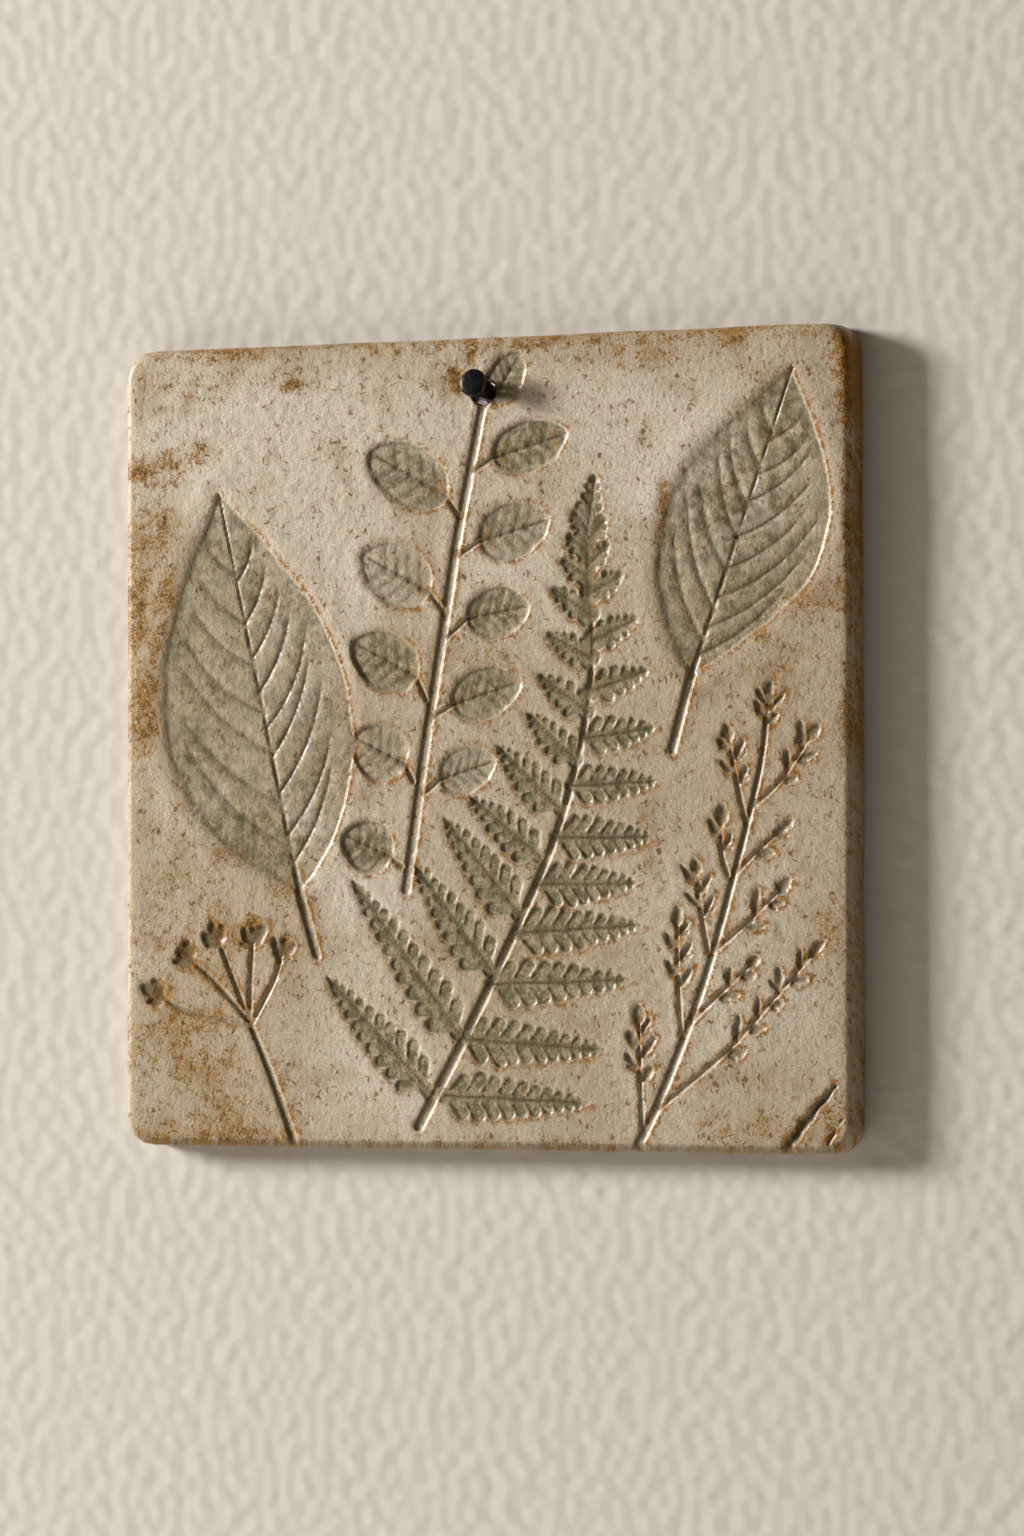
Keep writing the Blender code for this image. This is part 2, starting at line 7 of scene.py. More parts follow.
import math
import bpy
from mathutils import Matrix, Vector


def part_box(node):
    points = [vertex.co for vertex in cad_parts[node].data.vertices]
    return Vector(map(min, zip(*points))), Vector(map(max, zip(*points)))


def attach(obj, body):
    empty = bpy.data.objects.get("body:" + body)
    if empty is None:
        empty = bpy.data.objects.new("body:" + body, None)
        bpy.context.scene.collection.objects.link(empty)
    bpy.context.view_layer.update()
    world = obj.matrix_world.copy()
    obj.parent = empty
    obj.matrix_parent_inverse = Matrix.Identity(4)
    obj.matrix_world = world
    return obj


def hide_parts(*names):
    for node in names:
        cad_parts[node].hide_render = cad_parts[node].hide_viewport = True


bl_info = {
    "name": "Pressed Plant Tile",
    "version": (1, 0, 0),
    "blender": (4, 5, 0),
    "location": "3D View > Sidebar > Tile",
    "description": "Builds a glazed tile with pressed plants, its nail and a plain studio",
    "category": "Object",
}

import bpy
import numpy as np
from bpy.props import FloatProperty, FloatVectorProperty, IntProperty, PointerProperty
from mathutils import Euler, Matrix, Vector

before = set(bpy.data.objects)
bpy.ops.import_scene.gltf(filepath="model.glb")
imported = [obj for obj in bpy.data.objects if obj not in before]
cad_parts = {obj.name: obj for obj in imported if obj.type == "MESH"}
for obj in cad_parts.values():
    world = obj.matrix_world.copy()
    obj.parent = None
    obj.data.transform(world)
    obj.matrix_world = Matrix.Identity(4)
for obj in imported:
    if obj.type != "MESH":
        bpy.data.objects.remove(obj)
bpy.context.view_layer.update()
TILE_LOW, TILE_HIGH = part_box("tile")
NAIL_LOW, NAIL_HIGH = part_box("nail")

MM = 0.001
LAYOUT_SIDE = 150.0
TILE_CENTRE = (TILE_LOW + TILE_HIGH) / 2
TILE_WIDTH = TILE_HIGH.x - TILE_LOW.x
TILE_HEIGHT = TILE_HIGH.z - TILE_LOW.z
THICKNESS = (TILE_HIGH.y - TILE_LOW.y) / MM

# Where the hole is on the face and the nail's slope through it
HOLE_CENTRE = np.array((0.9, 64.9))
HOLE_RADIUS = 2.5
HOLE_LIP = 0.45
HOLE_BACK_LIP = 0.3
HOLE_HALF_SIDE = 2.75
NAIL_SLOPE = math.radians(10.0)
HEAD_STAND = 4.74
NAIL_IN_WALL = 20.0

# Nail: radius, place along its axis from the top of its head, and how rubbed it is there
NAIL_PROFILE = (
    (0.55, 0.0, 0.0), (1.10, -0.02, 0.0), (1.65, -0.06, 0.0), (2.10, -0.13, 0.15), (2.38, -0.22, 0.5),
    (2.55, -0.34, 1.0), (2.63, -0.50, 0.9), (2.65, -0.70, 0.4), (2.64, -0.92, 0.2), (2.57, -1.08, 0.5),
    (2.42, -1.18, 0.3), (2.05, -1.20, 0.0), (1.72, -1.26, 0.0), (1.62, -1.42, 0.1), (1.60, -1.80, 0.0),
    (1.60, -3.20, 0.0), (1.60, -5.0, 0.0), (1.60, -8.0, 0.0), (1.60, -12.0, 0.0), (1.60, -18.0, 0.0),
    (1.60, -24.0, 0.0), (1.59, -26.0, 0.0), (1.25, -27.6, 0.0), (0.80, -29.4, 0.0), (0.32, -30.6, 0.2),
)

# Studio, in metres: the wall behind the tile, its hole, and how far wall and floor reach
WALL_GAP = 0.0003
WALL_HOLE_INSET = 0.0014
WALL_HOLE_CUT = 0.65
FAR_SIDE = 3.0
FLOOR_LEVEL = -1.1

# Camera from the tile's centre on the wall, and its tilt, turn and roll
CAMERA_PLACE = (0.5883, -1.1805, -0.0351)
CAMERA_TILT, CAMERA_TURN, CAMERA_ROLL = (math.radians(angle) for angle in (91.33, 26.34, -0.08))

# Lights: name, place from the tile's centre, size and colour
LIGHTS = (
    ("key", (-2.30, -0.86, 0.62), (0.5, 0.6), (1.0, 0.965, 0.905)),
    ("side", (-2.15, -1.35, 0.9), (1.2, 1.2), (1.0, 0.90, 0.75)),
    ("back", (-0.9, 2.4, 0.9), (1.2, 1.2), (1.0, 0.98, 0.95)),
)

# How far a piece may stray from its solid's box, in metres, and a distance beyond all others
BOX_MARGIN = 0.0005
FAR_OFF = 1e9

# Powers that shape a leaf's tip, and sizes of the face's cells in fine steps
BIG_LEAF_POWER = 1.1
SMALL_LEAF_POWER = 0.6
CELL_SIZES = (8, 4, 2)

# How much a bend in each mark counts against one in the height, when cells are split
MARK_WEIGHTS = {"leafy": 0.05, "rim": 0.14, "line": 0.14, "stain": 0.005}
BISECTIONS = 14

# Rings of vertices round the front edge, the back edge and the hole's lip
FRONT_RINGS = 6
BACK_RINGS = 4
LIP_RINGS = 4

# Big leaves: blade base, tip, petiole end, (half width, widest share) and veins on each side
BIG_LEAVES = (
    {
        "base": (-37.6, -27.0), "tip": (-54.7, 47.3), "petiole_end": (-33.8, -39.2),
        "right": (18.3, 0.44), "left": (21.6, 0.44), "right_veins": 9, "left_veins": 7,
        "right_reach": 0.76, "left_reach": 0.86, "right_score": 0.25, "left_score": 0.21, "patches": 0.22,
        "tint": 0.36, "depth": 0.40,
    },
    {
        "base": (43.0, 11.5), "tip": (63.2, 66.9), "petiole_end": (39.1, -1.8),
        "right": (16.7, 0.52), "left": (15.4, 0.45), "right_veins": 8, "left_veins": 7,
        "right_reach": 0.86, "left_reach": 0.84, "right_score": 0.25, "left_score": 0.24, "patches": 0.32,
        "tint": 0.48, "depth": 0.40,
    },
)

# Round-leaved sprig: stem from the hole down; leaves as blade base, tip, half width, stalk foot, tint
SPRIG_STEM = (
    (0.9, 63.0), (-2.1, 49.1), (-4.4, 38.3), (-7.3, 21.3), (-11.2, -0.8), (-12.8, -11.7), (-15.1, -27.0),
)
SPRIG_LEAVES = (
    ((2.6, 63.2), (8.4, 71.6), 3.6, (1.2, 62.0), 0.55),
    ((2.8, 52.5), (18.0, 56.7), 4.6, (-0.8, 50.4), 0.80),
    ((-0.1, 37.1), (14.5, 41.0), 5.2, (-4.0, 34.7), 0.55),
    ((-2.6, 22.9), (10.2, 25.2), 4.7, (-6.5, 19.7), 0.70),
    ((-5.5, 7.1), (8.5, 11.3), 4.7, (-9.4, 4.9), 0.62),
    ((-8.2, -6.7), (3.3, -3.2), 4.2, (-11.3, -9.3), 0.30),
    ((-6.7, 45.5), (-22.9, 54.4), 5.6, (-4.2, 42.3), 0.66),
    ((-10.2, 27.9), (-24.4, 35.3), 5.6, (-7.3, 24.5), 0.30),
    ((-12.9, 12.2), (-26.3, 19.1), 5.4, (-10.9, 8.1), 0.66),
    ((-15.2, -3.9), (-26.2, 1.4), 5.2, (-13.6, -6.9), 0.22),
    ((-18.2, -21.1), (-28.4, -16.6), 4.9, (-15.9, -22.6), 0.70),
)

# Fern: its stem, then where each pinna leaves it and ends, from the lowest to the top
FERN_STEM = (
    (-12.5, -70.6), (-3.3, -54.7), (7.2, -35.0), (15.6, -17.4),
    (21.0, 0.3), (23.2, 16.5), (22.1, 34.0), (23.6, 48.5),
)
FERN_PINNAE = (
    ((-7.4, -64.9), (22.1, -66.1)), ((-3.3, -54.5), (25.5, -56.4)), ((2.5, -44.4), (30.6, -43.6)),
    ((7.6, -35.0), (32.8, -33.6)), ((12.3, -26.0), (32.2, -25.9)), ((15.8, -17.4), (35.3, -17.6)),
    ((18.8, -8.1), (36.3, -7.4)), ((21.5, 0.6), (35.9, 2.4)), ((23.2, 9.4), (34.5, 12.9)),
    ((23.6, 18.7), (32.3, 22.4)), ((23.0, 27.3), (29.3, 30.6)), ((22.4, 32.6), (26.6, 36.2)),
    ((22.4, 37.2), (25.9, 41.0)),
    ((-10.6, -64.0), (-31.6, -43.3)), ((-4.3, -53.6), (-26.3, -25.3)), ((2.3, -41.8), (-13.5, -22.2)),
    ((7.9, -31.3), (-7.2, -13.8)), ((12.3, -21.0), (-1.9, -9.9)), ((16.5, -12.3), (3.6, -0.5)),
    ((19.7, -3.4), (9.8, 5.4)), ((22.1, 5.5), (12.1, 12.5)), ((22.6, 15.4), (13.9, 19.9)),
    ((22.4, 23.4), (15.1, 28.2)), ((22.0, 30.3), (16.9, 33.5)), ((21.8, 35.0), (18.0, 38.0)),
    ((22.0, 38.7), (19.3, 42.4)),
    ((22.0, 38.0), (23.6, 48.9)),
)
LOBE_PITCH = 1.65
LOBE_GROWTH = 0.047
LOBE_ANGLE = math.radians(55.0)

# Seed sprig: its stem, then each twig as a run of points with how many buds it carries
SEED_STEM = ((31.7, -74.6), (36.2, -66.1), (44.6, -46.5), (51.1, -26.2), (56.7, -5.5), (58.4, 7.2))
SEED_TWIGS = (
    (((36.2, -67.2), (50.3, -56.2), (60.4, -45.8), (67.0, -38.9)), 9),
    (((33.1, -70.2), (32.6, -60.0), (32.4, -51.1)), 6),
    (((41.0, -53.4), (40.3, -43.0), (40.2, -33.1)), 6),
    (((43.3, -50.8), (49.6, -45.2), (54.8, -40.7)), 4),
    (((46.4, -38.3), (44.7, -29.6), (44.0, -23.8)), 5),
    (((47.8, -38.3), (54.2, -33.1), (60.5, -27.4)), 4),
    (((52.3, -23.9), (56.0, -20.4), (60.2, -17.0)), 2),
    (((50.4, -24.5), (49.1, -20.4), (49.1, -14.6)), 3),
    (((55.5, -12.1), (60.5, -7.8), (66.6, 0.2)), 5),
    (((53.9, -14.6), (52.3, -8.3), (50.4, 0.4)), 5),
    (((57.6, -1.0), (58.4, 7.2)), 5),
)
BUD_LENGTH = 4.2
BUD_HALF_WIDTH = 1.0
BUD_STALK = 0.7
BUD_SPREAD = math.radians(38.0)

# Umbel: its stem, then each ray as a run of points, with a cluster of buds at the end
UMBEL_STEM = ((-38.4, -74.2), (-43.9, -60.5), (-48.5, -50.8))
UMBEL_RAYS = (
    ((-47.6, -52.3), (-61.1, -49.5), (-67.6, -46.6)),
    ((-47.9, -51.7), (-55.6, -43.9), (-61.2, -39.6)),
    ((-48.2, -51.3), (-52.6, -41.1), (-55.0, -36.0)),
    ((-48.1, -51.5), (-47.8, -41.0), (-47.4, -36.2)),
    ((-47.7, -52.0), (-43.0, -43.9), (-41.2, -38.6)),
)
CLUSTER_SPREAD = math.radians(34.0)

# Gashes across the lower right corner: a run of points and a half width
GASHES = (
    (((60.8, -75.0), (66.0, -68.6), (71.2, -62.6)), 1.15),
    (((70.2, -72.6), (72.6, -68.6)), 0.6),
)

# Sides that the low light reaches, of a groove and of a small leaf, on the plan
LIT_SIDE = np.array((0.94, -0.34))
LEAF_LIT_SIDE = np.array((0.80, -0.60))
# Side of a fern lobe where iron gathers
LOW_SIDE = np.array((0.30, -0.95))

# Darker places inside the print: centre, half size right and up, and strength
DARK_PLACES = (
    (-52.0, -17.0, 10.0, 7.0, 0.50), (-60.0, -2.0, 5.0, 14.0, 0.35), (-63.0, 20.0, 4.0, 10.0, 0.30),
    (-41.0, -22.0, 4.0, 8.0, 0.40), (-48.5, 36.0, 2.2, 9.0, 0.45), (-36.0, 22.0, 2.5, 8.0, 0.30),
    (-56.5, 38.0, 3.0, 7.0, 0.22), (60.0, 58.0, 5.0, 8.0, 0.30), (48.0, 42.0, 6.0, 5.0, 0.28),
    (38.0, 30.0, 5.0, 6.0, 0.22), (57.0, 24.0, 6.0, 6.0, 0.22), (47.0, 15.0, 5.0, 5.0, 0.22),
)

# Iron stains: centre, half size right and up, and strength
STAINS = (
    (-71.5, 52.0, 5.0, 3.2, 0.95), (-72.0, 30.0, 3.6, 17.0, 0.80), (-70.5, 8.0, 3.4, 10.0, 0.95),
    (-66.0, 53.5, 7.0, 3.0, 0.62), (-62.5, 52.0, 1.4, 2.8, 0.90), (-59.6, 55.0, 1.3, 2.8, 0.95),
    (-67.5, 42.0, 5.0, 9.0, 0.58), (-66.0, 28.0, 3.2, 9.0, 0.72), (-68.0, 20.0, 3.0, 4.0, 0.85),
    (-39.0, 67.6, 2.2, 1.8, 1.5), (-40.6, 61.8, 0.9, 1.2, 0.85), (-46.0, 68.8, 9.0, 2.0, 0.36),
    (-57.0, 73.4, 18.0, 1.9, 0.62), (-60.0, 68.0, 14.0, 5.0, 0.38), (-18.0, 74.0, 22.0, 1.3, 0.62),
    (14.0, 73.4, 16.0, 1.5, 0.70), (45.0, 73.2, 26.0, 2.4, 0.60), (30.0, 70.5, 14.0, 3.0, 0.42),
    (0.0, 74.4, 82.0, 1.4, 0.26), (0.0, -74.6, 82.0, 1.6, 0.80), (-74.6, 24.0, 1.5, 60.0, 0.36),
    (73.4, 66.0, 2.4, 12.0, 1.25), (74.2, 40.0, 1.6, 22.0, 1.00), (74.0, 6.0, 1.3, 14.0, 0.85),
    (68.0, 24.0, 7.0, 4.5, 0.50), (60.0, 14.5, 8.0, 4.0, 0.42), (45.0, 26.0, 2.0, 2.5, 0.30),
    (-4.8, 67.6, 1.9, 3.2, 1.30), (-1.6, 72.0, 1.5, 2.6, 1.15), (14.8, 56.0, 2.0, 3.2, 0.65),
    (-7.9, 49.0, 2.6, 2.6, 0.40), (2.6, 16.2, 3.6, 1.6, 0.70), (25.0, 9.6, 2.0, 4.0, 0.35),
    (-52.0, -21.5, 7.0, 3.0, 0.50), (-60.0, -27.0, 10.0, 6.0, 0.42), (-44.0, -27.5, 4.0, 2.6, 0.55),
    (-61.0, -57.0, 14.0, 12.0, 0.50), (-52.0, -66.0, 18.0, 9.0, 0.42), (-56.0, -72.6, 20.0, 2.4, 0.72),
    (-62.0, -36.0, 12.0, 16.0, 0.40), (-46.0, -36.0, 10.0, 5.0, 0.42), (-40.0, -27.0, 5.0, 5.0, 0.35),
    (-20.0, -74.4, 30.0, 1.3, 0.85), (22.0, -74.4, 30.0, 1.2, 0.85), (55.0, -70.5, 12.0, 4.0, 0.45),
    (71.0, -67.5, 3.6, 5.5, 0.62), (64.0, -71.5, 2.4, 3.0, 0.70), (70.6, -34.0, 4.0, 6.5, 0.50),
    (-67.5, -46.0, 3.4, 3.0, 1.05), (-61.5, -38.5, 3.2, 2.8, 0.95), (-55.4, -34.6, 3.0, 2.6, 0.85),
    (-47.4, -33.8, 3.0, 2.4, 0.95), (-40.6, -36.5, 2.6, 2.6, 0.75), (52.0, -58.5, 4.0, 4.0, 0.32),
    (37.6, 44.5, 1.5, 5.5, 0.85), (36.6, 37.5, 1.2, 3.0, 0.70), (57.0, 18.6, 3.0, 1.6, 0.85),
    (-66.0, -13.0, 5.0, 10.0, 0.30), (-72.5, -45.0, 2.0, 18.0, 0.35), (33.0, -20.0, 3.0, 10.0, 0.22),
)
# Where the glaze is thicker and paler, with one patch of painted sheen on the right beside the seed sprig:
# centre, half size right and up, and strength
PALE_AND_SHEEN_PLACES = (
    (-30.0, 58.0, 34.0, 13.0, 0.75), (22.0, 60.0, 26.0, 12.0, 0.8), (36.0, 50.0, 18.0, 18.0, 0.9),
    (-30.0, 30.0, 14.0, 26.0, 0.7), (8.0, 30.0, 16.0, 24.0, 0.45), (-22.0, -30.0, 12.0, 22.0, 0.65),
    (38.0, 0.0, 10.0, 22.0, 0.25), (66.0, -10.0, 12.0, 30.0, 0.35), (-14.0, -55.0, 14.0, 14.0, 0.35),
)


def smoothstep(low, high, value):
    share = np.clip((value - low) / (high - low), 0.0, 1.0)
    return share * share * (3.0 - 2.0 * share)


def value_noise(points, cell, seed):
    """Smooth noise from 0 to 1 with features about a cell wide, the same on each run."""
    rng = np.random.default_rng(seed)
    table = rng.random((64, 64))
    place = points / cell + 1000.0
    corner = np.floor(place).astype(int)
    share = place - corner
    share = share * share * (3.0 - 2.0 * share)
    x0, y0 = corner[:, 0] % 64, corner[:, 1] % 64
    x1, y1 = (x0 + 1) % 64, (y0 + 1) % 64
    low = table[x0, y0] * (1 - share[:, 0]) + table[x1, y0] * share[:, 0]
    high = table[x0, y1] * (1 - share[:, 0]) + table[x1, y1] * share[:, 0]
    return low * (1 - share[:, 1]) + high * share[:, 1]


def sway(points, cell, seed, amount):
    """Smooth noise to both sides of zero, over an amount in all."""
    return (value_noise(points, cell, seed) - 0.5) * amount


def bell(value, middle, width):
    """A soft hump of height 1 about a middle."""
    return np.exp(-(((value - middle) / width) ** 2))


def raise_to(layer, index, level):
    """Lifts a layer's values at some points to a level, where they are lower."""
    layer[index] = np.maximum(layer[index], level)


def smooth_run(points, steps):
    """Points on a smooth curve through the given ones (Catmull-Rom)."""
    run = [np.array(p, float) for p in points]
    run.insert(0, run[0] * 2 - run[1])
    run.append(run[-1] * 2 - run[-2])
    result = []
    for before, start, end, after in zip(run, run[1:], run[2:], run[3:]):
        for step in range(steps):
            t = step / steps
            a = end - before
            b = before * 2 - start * 5 + end * 4 - after
            c = start * 3 - before - end * 3 + after
            result.append(start + (a * t + b * t * t + c * t ** 3) / 2)
    result.append(run[-2])
    return np.array(result)


def run_distance(points, run, sided=False):
    """Distance to a run of points, the share along it of the nearest place and how lit that side is."""
    best = np.full(len(points), FAR_OFF)
    share = np.zeros(len(points))
    lit = np.zeros(len(points))
    steps = len(run) - 1
    for index in range(steps):
        start, along = run[index], run[index + 1] - run[index]
        t = np.clip((points - start) @ along / max(along @ along, 1e-12), 0.0, 1.0)
        gap = points - start - t[:, None] * along
        distance = np.hypot(gap[:, 0], gap[:, 1])
        closer = distance < best
        best[closer] = distance[closer]
        share[closer] = (index + t[closer]) / steps
        lit[closer] = (gap[closer] @ LIT_SIDE) / (distance[closer] + 1e-6)
    return (best, share, lit) if sided else (best, share)


def outline_distance(points, outline):
    """Signed distance to a closed outline, negative inside."""
    closed = np.vstack([outline, outline[:1]])
    distance, _ = run_distance(points, closed)
    inside = np.zeros(len(points), bool)
    x, y = points[:, 0], points[:, 1]
    for (x0, y0), (x1, y1) in zip(closed, closed[1:]):
        if y0 == y1:
            continue
        crosses = (y0 > y) != (y1 > y)
        inside ^= crosses & (x < (x1 - x0) * (y - y0) / (y1 - y0) + x0)
    return np.where(inside, -distance, distance)


def oval_distance(points, centre, along, half_length, half_width, taper=0.0):
    """Signed distance to an oval, negative inside; a taper narrows its far end."""
    delta = points - centre
    a = delta @ along
    width = half_width * (1.0 - taper * np.clip(a / half_length, -1.0, 1.0))
    b = (delta @ np.array((-along[1], along[0]))) / width
    a = a / half_length
    reach = np.hypot(a, b) + 1e-9
    slope = np.hypot(a / half_length, b / width) + 1e-9
    return reach * (reach - 1.0) / slope


class Relief:
    """Depth and marks of everything pressed into the face, at a set of points on its plan."""

    def __init__(self, points, depth_scale):
        self.points = points
        self.depth_scale = depth_scale
        self.depth, self.leafy, self.line, self.rim, self.swell = np.zeros((5, len(points)))

    def near(self, places, margin):
        """Which points are within a margin of the box round some places."""
        places = np.asarray(places, float)
        low, high = places.min(0) - margin, places.max(0) + margin
        inside = np.all((self.points >= low) & (self.points <= high), axis=1)
        return np.flatnonzero(inside)

    def channel(self, index, distance, radius, depth, tint, rim, lit):
        """Presses a flat-floored groove with steep sides, with painted shade along its left side, away from
        the light.
        """
        wall = np.minimum(0.50, radius * 0.65)
        inset = radius - distance
        raise_to(self.depth, index, depth * smoothstep(-0.12, 1.0, inset / wall))
        raise_to(self.leafy, index, tint * smoothstep(-0.05, 0.2, inset))
        # Painted shade: a dark line inside the groove, only on the side away from the light.
        shade_line = 0.75 * smoothstep(-0.1, 0.25, inset) * smoothstep(0.75, 0.30, inset)
        raise_to(self.line, index, shade_line * smoothstep(0.2, -0.6, lit))
        rusty = rim * (0.30 + 0.90 * smoothstep(-0.4, 0.5, lit))
        raise_to(self.rim, index, rusty * bell(inset, -0.46, 0.36))
        raise_to(self.swell, index, 0.08 * bell(inset, -0.9, 0.7))

    def sink(self, index, distance, depth, wall, lip, tint, rim, lit=0.0):
        """Presses a flat-floored shape: full depth a wall's width inside its outline."""
        raise_to(self.depth, index, depth * smoothstep(lip, -wall, distance))
        raise_to(self.leafy, index, tint * smoothstep(0.10, -0.22, distance))
        raise_to(self.rim, index, rim * (0.72 + 0.48 * lit) * bell(distance, 0.46, 0.36))
        # The dark line at the wall's foot runs all round and is stronger on the side away from the light,
        # where it is painted shade.
        raise_to(self.line, index, 0.62 * (0.55 - 0.45 * lit) * bell(distance, -wall * 0.7, 0.28))
        raise_to(self.swell, index, 0.10 * bell(distance, 1.3, 0.9))

    def groove(self, index, distance, radius, depth, tint, rim, dark):
        """Presses a round-bottomed groove, no shallower than what is there."""
        share = np.clip(distance / radius, 0.0, 1.0)
        profile = np.sqrt(1.0 - share * share) * smoothstep(1.0, 0.6, share) ** 0.5
        raise_to(self.depth, index, depth * profile)
        raise_to(self.leafy, index, tint * smoothstep(1.0, 0.55, distance / radius))
        gap = distance - radius
        raise_to(self.rim, index, rim * bell(gap, 0.30, 0.35))
        raise_to(self.line, index, dark * smoothstep(0.55, 0.0, share))
        raise_to(self.swell, index, 0.07 * bell(gap, 0.9, 0.7))

    def score(self, index, distance, width, depth, dark):
        """Scores a fine vein into whatever floor is there."""
        self.depth[index] += depth * bell(distance, 0.0, width)
        raise_to(self.line, index, dark * bell(distance, 0.0, width * 0.8))

    def total(self):
        """How far each point is below the flat face, with the raised lip round each print."""
        return (self.depth - self.swell * smoothstep(0.25, 0.0, self.depth)) * self.depth_scale


def blade_width(share, widest, base_power, tip_power):
    """A leaf's half width along its midrib, 1 where it is widest and 0 at its ends."""
    share = np.clip(share, 0.0, 1.0)
    return (share / widest) ** base_power * ((1 - share) / (1 - widest)) ** tip_power


def leaf_axes(base, tip):
    """A leaf's base and tip, the way from one to the other and the unit vector to its right."""
    base, tip = np.array(base), np.array(tip)
    along = tip - base
    return base, tip, along, np.array((along[1], -along[0])) / np.hypot(*along)


def leaf_outline(base, tip, right, left, tip_power, steps):
    """A leaf's outline from its base up the right side to the tip and back down the left."""
    base, tip, along, across = leaf_axes(base, tip)
    shares = (1 - np.cos(np.pi * np.arange(steps) / steps)) / 2
    outline = []
    for side, (half_width, widest), run in ((1, right, shares), (-1, left, 1 - shares)):
        base_power = tip_power * widest / (1 - widest)
        reach = side * half_width * blade_width(run, widest, base_power, tip_power)
        outline.append(base + run[:, None] * along + reach[:, None] * across)
    return np.vstack(outline)


def vein_run(base, along, across, start, reach, first_angle, last_angle):
    """A vein that leaves the midrib at one angle to it and bends towards its direction."""
    angles = np.radians(np.linspace(first_angle, last_angle, 10))
    steps = np.stack([np.cos(angles), np.sin(angles)], axis=1)
    path = np.vstack([np.zeros((1, 2)), np.cumsum(steps, axis=0)])
    path *= reach / path[-1, 1]
    forward = along / np.hypot(*along)
    return base + along * start + path[:, :1] * forward + path[:, 1:] * across


def press_stem(relief, run, radius, depth, tint, rim):
    """A channel along a run; its radius and depth are each given as a start and a loss to the end."""
    index = relief.near(run, 3.0)
    gap, place, lit = run_distance(relief.points[index], run, sided=True)
    relief.channel(index, gap, radius[0] - radius[1] * place, depth[0] - depth[1] * place, tint, rim, lit)


def press_twig(relief, run, radius, depth, tint, dark, margin=3.0):
    """A thin groove along a run; its radius is given as a start and a loss to the end."""
    index = relief.near(run, margin)
    gap, place = run_distance(relief.points[index], run)
    relief.groove(index, gap, radius[0] - radius[1] * place, depth, tint, 0.8, dark)


def press_big_veins(relief, index, leaf, inside, seed):
    """Side veins of a big leaf; returns how far each point is from the nearest."""
    base, _, along, across = leaf_axes(leaf["base"], leaf["tip"])
    points = relief.points[index]
    nearest = np.full(len(index), FAR_OFF)
    rng = np.random.default_rng(seed)
    for side, word, offset, width in ((1, "right", 0.25, 0.36), (-1, "left", 0.6, 0.48)):
        half_width, widest = leaf[word]
        base_power = BIG_LEAF_POWER * widest / (1 - widest)
        count = leaf[word + "_veins"]
        for number in range(count):
            start = 0.04 + 0.80 * (number + offset) / count + rng.uniform(-0.012, 0.012)
            first, last = rng.uniform(48.0, 56.0), rng.uniform(12.0, 22.0)
            reach = half_width
            for _ in range(6):
                share = min(start + 1.4 * reach / np.hypot(*along), 0.995)
                limit = half_width * blade_width(share, widest, base_power, BIG_LEAF_POWER)
                reach = (reach + leaf[word + "_reach"] * limit) / 2
            full, half = reach * rng.uniform(0.90, 1.05), reach * rng.uniform(0.3, 0.6)
            run = vein_run(base, along, across * side, start, full, first, last)
            gap, place = run_distance(points, run)
            gap = np.abs(gap + sway(points, 1.8, seed + number, 0.35) * place)
            nearest = np.minimum(nearest, gap + 3.0 * smoothstep(0.8, 1.0, place))
            fading = inside * smoothstep(1.0, 0.8, place)
            ragged = 0.70 + 0.30 * smoothstep(0.35, 0.6, value_noise(points, 1.3, seed + 30))
            depth = leaf[word + "_score"] * fading * (1 - 0.4 * place)
            relief.score(index, gap, width - 0.10 * place, depth, fading * ragged)
            run = vein_run(base, along, across * side, start + 0.045, half, first, last)
            gap, place = run_distance(points, run)
            relief.score(index, gap, 0.24, 0.06 * inside * (1 - place), 0.40 * inside)
    return nearest


def press_big_leaf(relief, leaf, seed):
    """A big leaf: its sunk blade, veins, quilting, crumbs and patches, its midrib and its stalk."""
    base, tip, along, across = leaf_axes(leaf["base"], leaf["tip"])
    outline = leaf_outline(base, tip, leaf["right"], leaf["left"], BIG_LEAF_POWER, 40)
    index = relief.near(outline, 7.0)
    points = relief.points[index]
    distance = outline_distance(points, outline) + sway(points, 6.0, seed, 0.7)
    lit = np.clip((points - (base + tip) / 2) @ across / 10.0, -1.0, 1.0)
    wall = 0.45 + 0.45 * smoothstep(0.2, -0.8, lit)
    relief.sink(index, distance, leaf["depth"], wall, 0.30, leaf["tint"], 1.0, lit)
    raise_to(relief.swell, index, 0.22 * bell(distance, 2.6, 1.9))
    inside = smoothstep(0.0, -0.8, distance)
    nearest = press_big_veins(relief, index, leaf, inside, seed)
    relief.depth[index] -= 0.13 * ((1.0 - bell(nearest, 0.0, 1.6)) * inside)
    relief.depth[index] += sway(points, 2.2, seed + 1, 0.12) * inside
    crumbs = smoothstep(0.62, 0.80, value_noise(points, 0.8, seed + 3))
    crumbs *= smoothstep(0.4, 0.7, value_noise(points, 7.0, seed + 4))
    raise_to(relief.line, index, 0.55 * crumbs * inside)
    gap, place, lit = run_distance(points, np.array([base, tip]), sided=True)
    patches = smoothstep(0.50, 0.66, value_noise(points, 3.0, seed + 5)) * smoothstep(17.0, 4.0, gap)
    relief.leafy[index] += leaf["patches"] * patches * inside
    depth = leaf["depth"] + 0.14 - 0.08 * place
    relief.channel(index, gap, 0.80 - 0.45 * place, depth, leaf["tint"], 0.0, lit)
    stalk = np.array([leaf["petiole_end"], base, base + along * 0.05])
    press_stem(relief, stalk, (0.95, 0.0), (0.38, 0.0), 0.36, 0.9)


